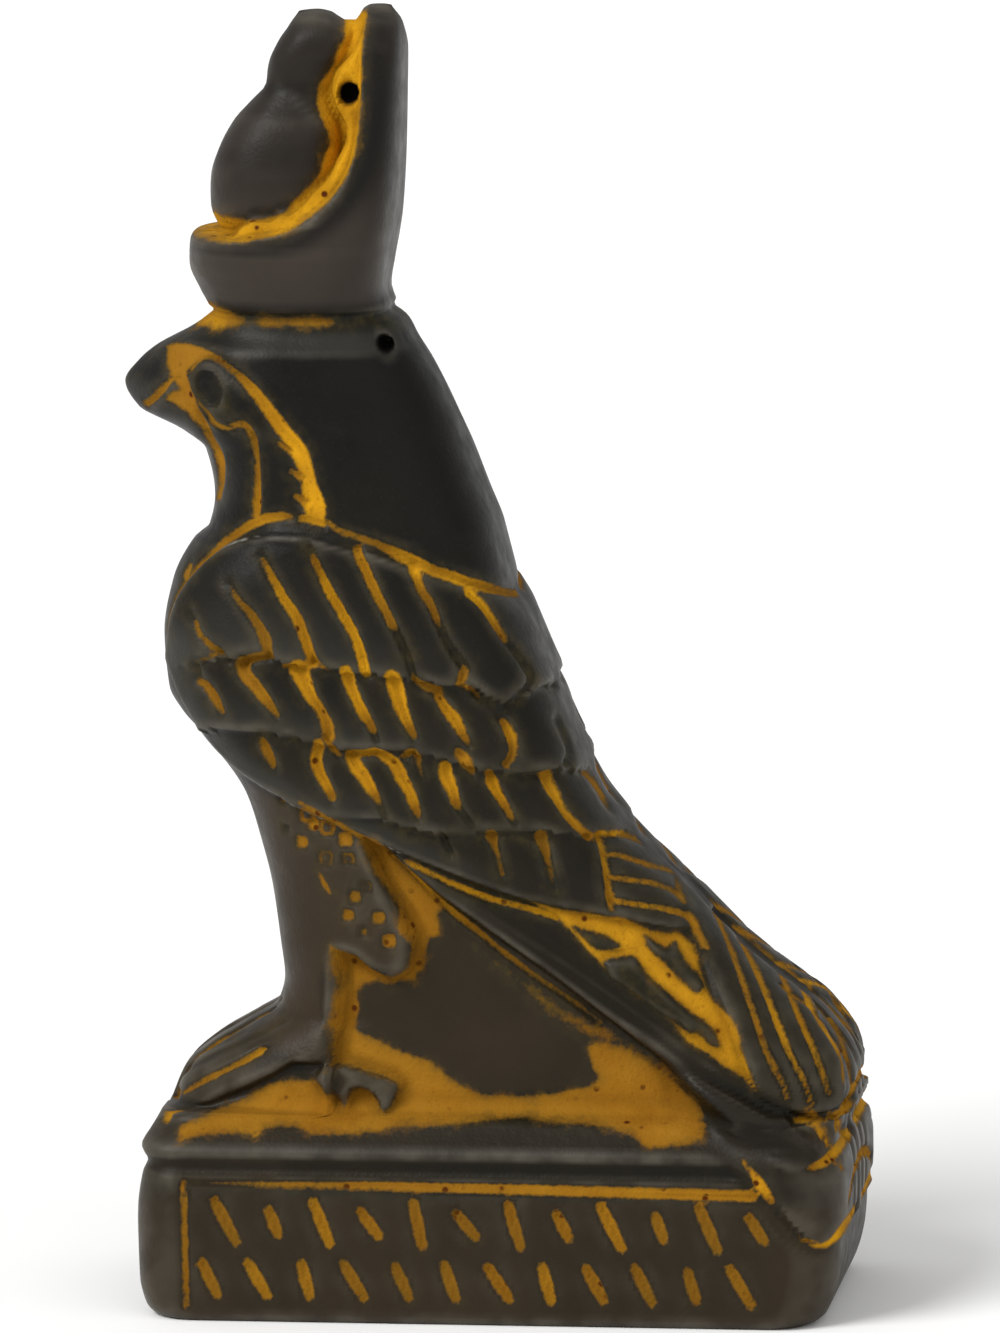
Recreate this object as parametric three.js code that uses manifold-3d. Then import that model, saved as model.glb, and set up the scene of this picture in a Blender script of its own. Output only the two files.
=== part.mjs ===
// Horus falcon with the double crown: a small souvenir statue, cast in one with its plinth.
// Millimetres. Z is up, the beak looks along -Y and the tail lies along +Y.
// The origin is on the underside of the plinth, below the middle of the whole figure.
import * as THREE from 'three';
import { mergeVertices } from 'three/addons/utils/BufferGeometryUtils.js';
import Module from 'manifold-3d';

const wasm = await Module();
wasm.setup();

// Sizes of the figure
const FIGURE_HEIGHT = 144;    // from the top of the plinth to the tip of the crown
const FIGURE_WIDTH = 36.8;    // across both feet
const SIDE_LEAN = 0.014;      // how much its flat sides draw in for each millimetre of height

// Sizes of the plinth
const PLINTH_HEIGHT = 26.3;
const TOE_LEDGE = 2.6;        // how far the plinth reaches in front of the toes
const SIDE_LEDGE = 3.6;       // and beside the feet
const TAIL_OVERHANG = 1;      // how far the tail reaches past the plinth behind
const PLINTH_CORNER = 6;      // radius of its upright corners
const SHOULDER_HEIGHT = 5.2;  // height of the soft slope round its top
const FOOT_EASE = 1.3;        // how far its worn bottom edge draws in

// Depths of the carving
const PLATE_RISE = 1.1;       // wings over the body
const BAND_RISE = 0.9;        // edge of the tail over the body
const GROOVE_DEPTH = 0.9;
const WEB_DEPTH = 3.8;        // hollow between the leg and the tail
const CLAW_DEPTH = 1.4;       // rear claws behind the legs' flat sides
const CROWN_DEPTH = 2;        // floor of the crown's hollow below its rim
const TOE_GAP_DEPTH = 1.6;
const PANEL_DEPTH = 0.8;      // frame line and strokes on the plinth
const DRAPE_RISE = 0.8;       // tail feathers over the plinth

// Widths of the carved lines
const FEATHER_LINE = 2;       // at its widest
const KITE_WAIST = 0.6;       // where along its length a feather line is widest
const LINE_END = 0.6;         // width of a line's ends, as a share of its middle's
const BAR_LINE = 1.1;
const LONG_LINE = 1.4;
const BORDER_LINE = 0.8;
const FACE_LINE = 1;
const BACK_LINE = 1;
const FRAME_LINE = 1.1;
const STROKE_LINE = 1.2;
const TOE_GAP = 1.3;
const LEG_GAP = 5;            // widest opening between the shins, at their front

const MATERIAL = new THREE.MeshStandardMaterial({
  name: 'basalt_look_cast_stone', color: 0x2b2624, roughness: 0.5, metalness: 0
});

// The side view is drawn in squares of a carver's grid, 28.8 of them from the plinth's top to the
// crown's tip. A point is [y, z]: y counts from the middle, z from the top of the plinth.
const SQUARES_HIGH = 28.8;
const SQUARE = FIGURE_HEIGHT / SQUARES_HIGH;
const along = (squares) => squares * SQUARE;
const above = (squares) => PLINTH_HEIGHT + squares * SQUARE;

// How finely the round forms are cut
const HALF_RING_STEPS = 9;
const TURN_WEIGHT = 8;        // millimetres of outline that a turn of one radian counts as
const BALL_STEPS = 16;
const CORNER_STEPS = 3;
const EYE_STEPS = 12;
const SECTION_SAMPLES = 240;
const LEAST_HALF_WIDTH = 0.4;
const SIDE_CUT_START = 0.6;   // how far out side cuts start, as a share of the half width
const SUNK = 3;               // how deep the figure is bedded in the plinth
const CLEAR = along(14);      // a distance past the figure in every direction

// Level sections of the figure, from the feet to the tip of the crown:
// [height, front, back, width as a share of the feet's, fullness in front, fullness behind].
const SECTIONS = [
  [0, -8.78, 9.42, 1.06, 3.2, 3.8], [0.9, -8.38, 9.42, 1.05, 3, 3.7],
  [1.5, -7.7, 9.2, 1.04, 3, 3.6], [2.1, -6.68, 8.76, 1.04, 3, 3.4],
  [2.6, -5.92, 8.32, 1.03, 3, 3.2], [3.4, -5.7, 7.22, 1.02, 3, 3.1], [4.2, -5.78, 6.24, 1.01, 3, 3],
  [5.8, -6, 4.66, 1, 2.8, 3], [7, -6.3, 3.42, 1, 2.6, 3],
  [8.2, -6.68, 2.48, 1.01, 2.5, 3.2], [9.8, -7.84, 1.8, 1.02, 2.4, 3.2],
  [10.4, -8.36, 1.58, 1.03, 2.4, 3.2], [11, -8.68, 1.36, 1.03, 2.4, 3.2],
  [12.4, -8.78, 0.86, 1.02, 2.4, 3.2], [13.8, -8.52, 0.38, 0.98, 2.4, 3.2],
  [14.8, -8, 0.14, 0.92, 2.3, 3.1], [15.2, -7.56, 0.04, 0.9, 2.3, 3.1],
  [16, -7.4, -0.26, 0.855, 2.2, 3], [17.2, -7.63, -0.7, 0.805, 2.1, 3],
  [17.7, -8.32, -0.9, 0.785, 1.6, 2.9], [18.2, -9.4, -1.1, 0.76, 1.1, 2.8],
  [18.9, -9.78, -1.42, 0.735, 1, 2.8], [19.5, -9.36, -1.73, 0.7, 1.2, 2.8],
  [20.1, -8.58, -2.1, 0.665, 1.7, 2.8], [20.6, -7.82, -2.34, 0.62, 2.1, 3],
  [20.92, -7.5, -2.62, 0.59, 2.2, 3.2], [21.4, -7.7, -2.82, 0.64, 2.2, 3.6],
  [22.1, -7.96, -2.73, 0.705, 2.3, 4], [22.7, -7.92, -2.62, 0.74, 2.4, 4],
  [23.3, -7.6, -2.52, 0.715, 2.4, 4], [25, -7.24, -2.37, 0.6, 2.3, 4],
  [26.5, -6.2, -2.3, 0.5, 2.3, 4], [27.7, -5.6, -2.26, 0.43, 2.3, 4],
  [28.4, -5.1, -2.34, 0.34, 2.3, 3], [28.8, -3.6, -2.6, 0.12, 2.2, 2.2]
];

// Rounds of the white crown's ball and knob: [height, centre, radius].
const BALL_WIDTHS_ACROSS = 7.36;  // so many squares go into the feet's width
const BALL_ROUNDS = [
  [23, -5.73, 1.43], [23.6, -5.68, 1.7], [24.4, -5.6, 1.76], [25.1, -5.47, 1.66],
  [25.8, -5.3, 1.44], [26.3, -5.16, 1.12], [26.7, -5.02, 0.89], [27.1, -4.93, 0.89],
  [27.6, -4.78, 1.07], [28.1, -4.6, 1.08], [28.5, -4.5, 0.84], [28.7, -4.46, 0.4]
];

// Outlines in the side view
const CROWN_HOLLOW = [
  [-10, 22.96], [-7.6, 22.94], [-6.3, 22.94], [-5, 23.24], [-3.95, 24.02], [-3.42, 24.95],
  [-3.18, 26.5], [-3.02, 27.9], [-2.95, 30], [-10, 30]
];
const CROWN_FLOOR = [
  [-7.6, 22.4], [-7.45, 23.45], [-6.6, 23.6], [-5.2, 24.2], [-4.3, 25.6], [-4, 27],
  [-3.85, 28.3], [-2.6, 28.3], [-2.6, 22.4]
];
const WING = [
  [-8.18, 12.38], [-7.98, 13.42], [-7.56, 14.22], [-6.5, 15.14], [-4.92, 15.54], [-3.62, 15.48],
  [-2.06, 15.04], [-0.5, 14.4], [1.1, 13.6], [3, 12.9], [12, 12.9], [12, 3],
  [8.95, 1.5], [8.85, 0.6], [8.34, 0.3], [7.9, 0.6], [7.14, 1.26], [6.4, 2.8], [5.65, 4.85],
  [4.6, 5], [3, 5.4], [1.2, 5.78], [-0.9, 6.54], [-2.7, 7.36], [-4.8, 8.2], [-6.1, 9],
  [-7.4, 10.05], [-8, 11.1]
];
const TAIL_BAND = [
  [-2.9, 7.5], [-1.1, 5.9], [2, 3.7], [4.56, 1.76], [6.4, 0.2], [7.4, -0.84], [8.2, -1.04],
  [8.98, -0.5], [9.04, 0.28], [8.2, 0.1], [7.16, 0.74], [6.12, 1.52], [4.06, 3.08], [2, 4.36],
  [-0.1, 5.78], [-2.16, 7.08]
];
const WEB = [
  [-4.3, -1], [-4.22, 1.8], [-4.06, 3.64], [-3.86, 4.44], [-3.5, 4.3], [-2.92, 3.82],
  [-2.12, 4.18], [-1.94, 5.02], [-2.36, 6.08], [-2.9, 7.1], [-1.1, 5.9], [2, 3.7],
  [4.56, 1.76], [6.4, 0.2], [7, -1]
];
const REAR_CLAW = [
  [-4.4, 0.6], [-3.5, 0.5], [-2.7, 0.4], [-2.35, 0.75], [-2.4, 1.15], [-3, 1.35], [-4.4, 1.5]
];
const TAIL_OVER_PLINTH = [
  [7, -1.3], [7.96, -2.32], [8.72, -2.92], [9.7, -3.3], [12, -3.3], [12, 0.4], [8, 0.4]
];

// Feathers lie in rows. The lines between them start on one curve and end on another.
const FEATHER_ROWS = [
  { lines: 7, start: [[-7.35, 13.6], [-5.6, 15], [-3.1, 15.1], [-0.2, 14]],
    end: [[-6.65, 12.55], [-4.3, 12.3], [-1.8, 12.1], [1.15, 11.8]] },
  { lines: 8, start: [[-7.2, 11.8], [-4.9, 12.1], [-1.6, 11.75], [1.9, 10.95]],
    end: [[-6.55, 10.8], [-3.9, 10.35], [-0.3, 10.1], [2.2, 9.65]] },
  { lines: 8, start: [[-5.65, 10.1], [-3.3, 9.8], [0.2, 9.35], [2.7, 9.4]],
    end: [[-5.25, 9.3], [-2.6, 8.4], [0.9, 8.05], [3.35, 8.3]] },
  { lines: 4, start: [[-0.9, 7.6], [0.3, 7.65], [1.5, 7.65], [2.85, 7.6]],
    end: [[-0.7, 7], [0.6, 6.6], [1.9, 6.2], [3.35, 5.55]] }
];
const ROW_BORDERS = [
  [[-7.7, 12], [-5.4, 12.2], [-2.6, 11.95], [0, 11.5], [2.2, 11.2]],
  [[-7.1, 10.4], [-4.5, 10.25], [-1.5, 9.85], [1, 9.6], [2.9, 9.6]],
  [[-2.4, 7.9], [-1, 7.65], [1, 7.7], [3.05, 7.7]]
];
// Short bars close the rows, and long lines divide the wing's last feathers.
const BARS = { lines: 4, start: [[3.3, 7.35], [3.45, 5.45]], end: [[4.9, 7], [5.3, 5.1]] };
const LONG_LINES = [
  [[5.5, 6.4], [6.55, 4.2], [7.72, 1.05]], [[5.9, 6.1], [7.05, 3.85], [8.28, 0.62]],
  [[6.3, 5.8], [7.5, 3.6], [8.55, 1.1]]
];
const TAIL_LINES = [
  [[1.1, 5.3], [2.6, 4.2], [4.6, 2.95], [6.4, 1.5]], [[2.6, 5], [4, 4.1], [5.2, 3.15], [6.2, 2.3]],
  [[4.1, 4.8], [4.8, 4.3], [5.9, 3.4]]
];
const FACE_LINES = [
  { path: [[-7.7, 19.5], [-6.9, 19.75], [-6, 19.05], [-5.35, 17.9], [-4.8, 16.6], [-4.4, 15.7]], width: 2 },
  { path: [[-6.9, 18.1], [-6.3, 17.95], [-5.95, 17.3], [-5.95, 15.8]], width: 1 },
  { path: [[-8.3, 18.8], [-7.4, 18.1], [-6.9, 17.2], [-6.8, 16]], width: 1.2 },
  { path: [[-8.75, 18.2], [-8.35, 18.8], [-8.05, 19.4]], width: 0.9 },
  { path: [[-7.75, 13.4], [-7.4, 14.4], [-6.4, 15.4], [-4.7, 15.95]], width: 0.9 }
];
const EYE = { y: -7.05, z: 18.95, halfLength: 0.5, halfHeight: 0.66, lean: 0.35 };

// The back of the tail: upright lines and two arched borders, [height at the edge, rise].
const BACK_LINES = 4;
const BACK_LINE_PITCH = 0.26;     // as a share of the figure's half width
const BACK_LINE_TOP = 5.1;
const BACK_LINE_FALL = 4.6;       // how much lower a line at the edge would end
const BACK_ARCHES = [[-1.1, 1.9], [-2.9, 1.5]];
const ARCH_STEPS = 6;
const ARCH_START = 7.6;
const TAIL_OPENING = { top: 6.3, bottom: 0.3, start: 3, halfWidth: 0.86 };

// Feet and shins, in squares
const TOE_TOP = 2.2;
const TOE_BACK = -5.9;
const TOE_GAP_LIFT = 0.3;         // millimetres above the plinth
const LEG_GAP_FRONT = -9.8;
const LEG_GAP_BACK = -4.4;
const LEG_GAP_TOP = 6.4;

// The plinth's rubbed upper edge: [share of the shoulder's height, share of the side ledge].
const SHOULDER_CURVE = [[-0.4, 0.04], [0, 0.2], [0.45, 0.6], [1, 1]];
const MOST_CORNER = 0.8;          // as a share of the plinth's half width

// The plinth's long sides: a frame line, and inside it rows of strokes. Millimetres.
const STROKE_ROWS = 2;
const STROKE_COLUMNS = 12;
const STROKE_START = 0.5;         // place of the first one, as a share of the columns' pitch
const ROW_OFFSET = 0.35;          // how far a row is set off from the one below it, likewise
const STROKE_LEAN = 0.15;         // all lean the same way, likewise
const LEAN_WAVE = 0.07;           // how much that lean comes and goes
const STROKE_REACH = 0.29;        // half a stroke's height, as a share of the rows' pitch
const STROKE_WAVE = 0.09;         // how much that reach comes and goes
const COLUMN_TURN = 2.4;          // how far the waves run on from one column to the next
const ROW_TURN = 1.7;             // and from one row to the next, both in radians
const REACH_TURN = 1.3;           // the reach's wave runs so much faster than the lean's
const FRAME_BELOW_SHOULDER = 2.7;
const FRAME_ABOVE_FLOOR = 2;
const FRAME_FROM_FRONT = 7.4;
const FRAME_FROM_BACK = 10;

const lerp = (from, to, share) => from + (to - from) * share;

// A closed mesh of points and triangles, as a solid that can be joined and cut.
function toSolid(geometry) {
  for (const name of ['normal', 'uv']) {
    if (geometry.hasAttribute(name)) geometry.deleteAttribute(name);
  }
  const merged = mergeVertices(geometry, 1e-4);
  return new wasm.Manifold(new wasm.Mesh({
    numProp: 3,
    vertProperties: Float32Array.from(merged.attributes.position.array),
    triVerts: Uint32Array.from(merged.index.array)
  }));
}

const join = (solids) => solids.reduce((whole, solid) => whole.add(solid));

// Level rings of [x, y, z] points, turning from the front to +X, closed by a fan at each end.
function stackSolid(rings) {
  const count = rings[0].length;
  const positions = rings.flat(2);
  const faces = [];
  for (let level = 0; level < rings.length - 1; level += 1) {
    for (let step = 0; step < count; step += 1) {
      const next = (step + 1) % count;
      const low = level * count;
      const high = low + count;
      faces.push(low + step, low + next, high + next, low + step, high + next, high + step);
    }
  }
  const bottom = positions.length / 3;
  const middleOf = (ring) => [0, (ring[0][1] + ring[count / 2][1]) / 2, ring[0][2]];
  positions.push(...middleOf(rings[0]), ...middleOf(rings.at(-1)));
  const last = (rings.length - 1) * count;
  for (let step = 0; step < count; step += 1) {
    const next = (step + 1) % count;
    faces.push(bottom, next, step, bottom + 1, last + step, last + next);
  }
  const geometry = new THREE.BufferGeometry();
  geometry.setAttribute('position', new THREE.Float32BufferAttribute(positions, 3));
  geometry.setIndex(faces);
  return toSolid(geometry);
}

// Half of a level section, from its front to its back. Its width follows a rounded-square law:
// a fullness of 1 is a wedge, 2 an ellipse and 4 nearly a box. Its steps are shortest where it
// turns most.
function halfSection(front, back, halfWidth, frontFull, backFull) {
  const samples = [];
  for (let index = 0; index <= SECTION_SAMPLES; index += 1) {
    const t = -Math.cos(Math.PI * index / SECTION_SAMPLES);
    const full = t < 0 ? frontFull : backFull;
    const width = halfWidth * Math.max(0, 1 - Math.abs(t) ** Math.max(2, full)) ** (1 / full);
    samples.push([width, lerp(front, back, (t + 1) / 2)]);
  }
  const run = [0];
  let heading = 0;
  for (let index = 1; index < samples.length; index += 1) {
    const [x, y] = samples[index];
    const [lastX, lastY] = samples[index - 1];
    const nextHeading = Math.atan2(y - lastY, x - lastX);
    const turn = index > 1 ? Math.abs(nextHeading - heading) : 0;
    run.push(run[index - 1] + Math.hypot(x - lastX, y - lastY) + turn * TURN_WEIGHT);
    heading = nextHeading;
  }
  const points = [];
  let sample = 1;
  for (let step = 0; step <= HALF_RING_STEPS; step += 1) {
    const target = run.at(-1) * step / HALF_RING_STEPS;
    while (sample < samples.length - 1 && run[sample] < target) sample += 1;
    const share = (target - run[sample - 1]) / (run[sample] - run[sample - 1]);
    points.push([0, 1].map((axis) => lerp(samples[sample - 1][axis], samples[sample][axis], share)));
  }
  points[0][0] = 0;
  points[HALF_RING_STEPS][0] = 0;
  return points;
}

const mirrored = (half, z) => [
  ...half.map(([x, y]) => [x, y, z]),
  ...half.slice(1, -1).reverse().map(([x, y]) => [-x, y, z])
];

// The whole figure without its carving, grown or shrunk sideways by an offset.
function figureSolid(offset = 0) {
  const rings = SECTIONS.map(([height, front, back, width, frontFull, backFull]) => mirrored(
    halfSection(along(front) - offset, along(back) + offset,
      Math.max(LEAST_HALF_WIDTH, width * FIGURE_WIDTH / 2 + offset), frontFull, backFull),
    above(height)
  ));
  const sunk = rings[0].map(([x, y]) => [x, y, PLINTH_HEIGHT - SUNK]);
  return stackSolid([sunk, ...rings]).intersect(flatSides(offset));
}

// The statue is worked in a block: both sides stay flat and lean in a little towards the top.
function flatSides(offset) {
  const half = FIGURE_WIDTH / 2 + offset;
  const [low, high] = [PLINTH_HEIGHT - CLEAR, PLINTH_HEIGHT + FIGURE_HEIGHT + SQUARE];
  const lean = (high - PLINTH_HEIGHT) * SIDE_LEAN;
  const spread = (PLINTH_HEIGHT - low) * SIDE_LEAN;
  return backSlab(
    [[-half - spread, low], [half + spread, low], [half - lean, high], [lean - half, high]]
  );
}

// The plinth: a soft block under the feet, with the tail reaching past it behind.
const plinthFront = along(SECTIONS[0][1]) - TOE_LEDGE;
const plinthBack = along(SECTIONS[0][2]) - TAIL_OVERHANG;
const plinthHalfWidth = FIGURE_WIDTH / 2 + SIDE_LEDGE;

function plinthRing(z, drawIn, offset) {
  const halfWidth = plinthHalfWidth - drawIn + offset;
  const front = plinthFront + drawIn * TOE_LEDGE / SIDE_LEDGE - offset;
  const back = plinthBack - Math.min(drawIn, FOOT_EASE) + offset;
  const corner = Math.min(PLINTH_CORNER, halfWidth * MOST_CORNER);
  const half = [[0, front]];
  for (const [centreY, startAngle] of [[front + corner, -90], [back - corner, 0]]) {
    for (let step = 0; step <= CORNER_STEPS; step += 1) {
      const angle = THREE.MathUtils.degToRad(startAngle + 90 * step / CORNER_STEPS);
      half.push([
        halfWidth - corner + corner * Math.cos(angle),
        centreY + corner * Math.sin(angle)
      ]);
    }
  }
  half.push([0, back]);
  return mirrored(half, z);
}

function plinthSolid(offset = 0) {
  const shoulder = PLINTH_HEIGHT - SHOULDER_HEIGHT;
  return stackSolid([
    plinthRing(0, FOOT_EASE, offset),
    plinthRing(FOOT_EASE, FOOT_EASE / 4, offset),
    plinthRing(shoulder / 2, 0, offset),
    ...SHOULDER_CURVE.map(([rise, drawIn]) => plinthRing(
      shoulder + SHOULDER_HEIGHT * rise, SIDE_LEDGE * drawIn, offset
    ))
  ]);
}

// A side-view outline of [y, z] millimetres, run through the figure from side to side.
function sideSlab(outline) {
  const shape = new THREE.Shape(outline.map(([y, z]) => new THREE.Vector2(y, z)));
  const geometry = new THREE.ExtrudeGeometry(shape, { depth: 2 * FIGURE_WIDTH, bevelEnabled: false });
  geometry.translate(0, 0, -FIGURE_WIDTH);
  geometry.applyMatrix4(new THREE.Matrix4().makeBasis(
    new THREE.Vector3(0, 1, 0), new THREE.Vector3(0, 0, 1), new THREE.Vector3(1, 0, 0)
  ));
  return toSolid(geometry);
}

// An outline of [x, z] millimetres seen from the front, run along Y from one place to another.
function backSlab(outline, fromY = -CLEAR, toY = CLEAR) {
  const shape = new THREE.Shape(outline.map(([x, z]) => new THREE.Vector2(x, z)));
  const geometry = new THREE.ExtrudeGeometry(shape, { depth: toY - fromY, bevelEnabled: false });
  geometry.applyMatrix4(new THREE.Matrix4().makeBasis(
    new THREE.Vector3(1, 0, 0), new THREE.Vector3(0, 0, 1), new THREE.Vector3(0, -1, 0)
  ));
  geometry.translate(0, toY, 0);
  return toSolid(geometry);
}

// An outline of [x, y] millimetres seen from above, run upwards.
function levelSlab(outline, fromZ, toZ) {
  const shape = new THREE.Shape(outline.map(([x, y]) => new THREE.Vector2(x, y)));
  const geometry = new THREE.ExtrudeGeometry(shape, { depth: toZ - fromZ, bevelEnabled: false });
  return toSolid(geometry.translate(0, 0, fromZ));
}

const onGrid = (outline) => outline.map(([y, z]) => [along(y), above(z)]);
const gridSlab = (outline) => sideSlab(onGrid(outline));
const curveThrough = (points) => new THREE.SplineCurve(points.map(([y, z]) => new THREE.Vector2(y, z)));

// The outline of a line that is cut along a path, widest in its middle and finer at its ends.
function lineOutline(path, width, steps) {
  const curve = path.length > 2 ? curveThrough(path) : new THREE.LineCurve(
    new THREE.Vector2(...path[0]), new THREE.Vector2(...path[1])
  );
  const sides = [[], []];
  for (let step = 0; step <= steps; step += 1) {
    const share = step / steps;
    const point = curve.getPoint(share);
    const tangent = curve.getTangent(share);
    const half = width / 2 * lerp(LINE_END, 1, Math.sin(Math.PI * share));
    sides[0].push([point.x + tangent.y * half, point.y - tangent.x * half]);
    sides[1].unshift([point.x - tangent.y * half, point.y + tangent.x * half]);
  }
  return [...sides[0], ...sides[1]];
}

const lineSlab = (path, width, steps) => sideSlab(lineOutline(onGrid(path), width, steps));

// A straight cut that is pointed at both ends and widest past its middle.
function kiteSlab(start, end, width) {
  const [from, to] = onGrid([start, end]);
  const length = Math.hypot(to[0] - from[0], to[1] - from[1]);
  const [dy, dz] = [(to[0] - from[0]) / length, (to[1] - from[1]) / length];
  const waist = [lerp(from[0], to[0], KITE_WAIST), lerp(from[1], to[1], KITE_WAIST)];
  const half = width / 2;
  return sideSlab([
    from, [waist[0] + dz * half, waist[1] - dy * half], to,
    [waist[0] - dz * half, waist[1] + dy * half]
  ]);
}

// Cuts between two guide curves, evenly spaced, as a row of feathers has them.
function rowOfCuts({ lines, start, end }, width) {
  const [starts, ends] = [curveThrough(start), curveThrough(end)];
  return Array.from({ length: lines }, (_, index) => {
    const share = index / (lines - 1);
    return kiteSlab(starts.getPoint(share).toArray(), ends.getPoint(share).toArray(), width);
  });
}

// Cuts go only as deep as the shrunken or grown figure that they leave standing.
const cutDownTo = (solid, cutters, core) => solid.subtract(join(cutters).subtract(core));

// Cuts on the sides stop short of the middle of the back and the breast.
const onSidesOnly = (core) => {
  const half = FIGURE_WIDTH / 2 * SIDE_CUT_START;
  const top = PLINTH_HEIGHT + FIGURE_HEIGHT;
  return core.add(backSlab([[-half, -SQUARE], [half, -SQUARE], [half, top], [-half, top]]));
};

// The wings lie over the body as one plate on each side. They part over the tail behind.
function wings() {
  const half = TAIL_OPENING.halfWidth * FIGURE_WIDTH / 2;
  const opening = backSlab([
    [0, above(TAIL_OPENING.top)], [-half, above(TAIL_OPENING.bottom)], [-half, PLINTH_HEIGHT / 2],
    [half, PLINTH_HEIGHT / 2], [half, above(TAIL_OPENING.bottom)]
  ], along(TAIL_OPENING.start), CLEAR);
  return figureSolid(PLATE_RISE).intersect(gridSlab(WING)).subtract(opening);
}

function featherCuts() {
  const rows = FEATHER_ROWS.flatMap((row) => rowOfCuts(row, FEATHER_LINE));
  const borders = ROW_BORDERS.map((border) => lineSlab(border, BORDER_LINE, 3));
  const bars = rowOfCuts(BARS, BAR_LINE);
  const longs = LONG_LINES.map((path) => lineSlab(path, LONG_LINE, 2));
  return [...rows, ...borders, ...bars, ...longs];
}

// Upright lines between the feathers of the tail's back, shorter towards its edges.
function backCuts() {
  const half = FIGURE_WIDTH / 2;
  return Array.from({ length: BACK_LINES }, (_, index) => {
    const place = (index - (BACK_LINES - 1) / 2) * BACK_LINE_PITCH;
    const x = place * half;
    const top = above(BACK_LINE_TOP - BACK_LINE_FALL * Math.abs(place));
    const bottom = above(BACK_ARCHES.at(-1)[0]);
    return backSlab([
      [x - BACK_LINE / 2, bottom], [x + BACK_LINE / 2, bottom],
      [x + BACK_LINE / 4, top], [x - BACK_LINE / 4, top]
    ], along(TAIL_OPENING.start), CLEAR);
  });
}

// Arched borders across the tail's back, highest in the middle.
function archCuts() {
  const halfWidth = plinthHalfWidth + DRAPE_RISE + BACK_LINE;
  return BACK_ARCHES.map(([edge, rise]) => {
    const arc = (drop) => Array.from({ length: ARCH_STEPS + 1 }, (_, index) => {
      const share = 2 * index / ARCH_STEPS - 1;
      return [share * halfWidth, above(edge + rise * (1 - share * share)) - drop];
    });
    return backSlab([...arc(BACK_LINE), ...arc(0).reverse()], along(ARCH_START), CLEAR);
  });
}

// Each foot has three toes, so there are two gaps on each side of the middle.
function toeCuts() {
  const toe = FIGURE_WIDTH / 6;
  const [bottom, top] = [PLINTH_HEIGHT + TOE_GAP_LIFT, above(TOE_TOP)];
  return [-2, -1, 1, 2].map((place) => {
    const [left, right] = [place * toe - TOE_GAP / 2, place * toe + TOE_GAP / 2];
    return backSlab(
      [[left, bottom], [right, bottom], [right, top], [left, top]], -CLEAR, along(TOE_BACK)
    );
  });
}

// The opening between the legs narrows towards the back and ends below the breast.
const legGap = () => levelSlab(
  [[-LEG_GAP / 2, along(LEG_GAP_FRONT)], [LEG_GAP / 2, along(LEG_GAP_FRONT)], [0, along(LEG_GAP_BACK)]],
  PLINTH_HEIGHT, above(LEG_GAP_TOP)
);

// The red crown is hollowed behind its rim, and the white crown's ball and knob stand in it.
function crown(figure) {
  const ballWidth = FIGURE_WIDTH / BALL_WIDTHS_ACROSS;
  const hollowed = figure.subtract(gridSlab(CROWN_HOLLOW));
  const floor = figureSolid(-CROWN_DEPTH).intersect(gridSlab(CROWN_FLOOR));
  const ball = stackSolid(BALL_ROUNDS.map(([height, centre, radius]) => Array.from(
    { length: BALL_STEPS },
    (_, index) => {
      const angle = 2 * Math.PI * index / BALL_STEPS - Math.PI / 2;
      return [
        radius * ballWidth * Math.cos(angle),
        along(centre) + along(radius) * Math.sin(angle),
        above(height)
      ];
    }
  )));
  return join([hollowed, floor, ball]);
}

// A ring is cut round each eye.
function eyeCut() {
  const oval = (grow) => {
    const points = new THREE.EllipseCurve(
      along(EYE.y), above(EYE.z), along(EYE.halfLength) + grow, along(EYE.halfHeight) + grow,
      0, 2 * Math.PI, false, EYE.lean
    ).getPoints(EYE_STEPS).slice(0, -1);
    return sideSlab(points.map((point) => [point.x, point.y]));
  };
  return oval(FACE_LINE / 2).subtract(oval(-FACE_LINE / 2));
}

// Strokes fill the frame in level rows. Their lean and length follow slow waves.
function plinthStrokes() {
  const top = PLINTH_HEIGHT - SHOULDER_HEIGHT - FRAME_BELOW_SHOULDER;
  const [bottom, front] = [FRAME_ABOVE_FLOOR, plinthFront + FRAME_FROM_FRONT];
  const back = plinthBack - FRAME_FROM_BACK;
  const rowHeight = (top - bottom - FRAME_LINE) / STROKE_ROWS;
  const pitch = (back - front) / STROKE_COLUMNS;
  const strokes = [];
  for (let row = 0; row < STROKE_ROWS; row += 1) {
    for (let column = 0; column < STROKE_COLUMNS; column += 1) {
      const turn = column * COLUMN_TURN + row * ROW_TURN;
      const y = front + pitch * (column + STROKE_START + row * ROW_OFFSET);
      const z = bottom + rowHeight * (row + 0.5);
      const reach = rowHeight * (STROKE_REACH + STROKE_WAVE * Math.sin(turn * REACH_TURN));
      const lean = pitch * (STROKE_LEAN + LEAN_WAVE * Math.sin(turn));
      const path = [[y - lean, z + reach], [y + lean, z - reach]];
      strokes.push(sideSlab(lineOutline(path, STROKE_LINE, 1)));
    }
  }
  const frame = [[[front, top], [back, top]], [[front, top], [front, bottom]]];
  return [...strokes, ...frame.map((path) => sideSlab(lineOutline(path, FRAME_LINE, 2)))];
}

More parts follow.
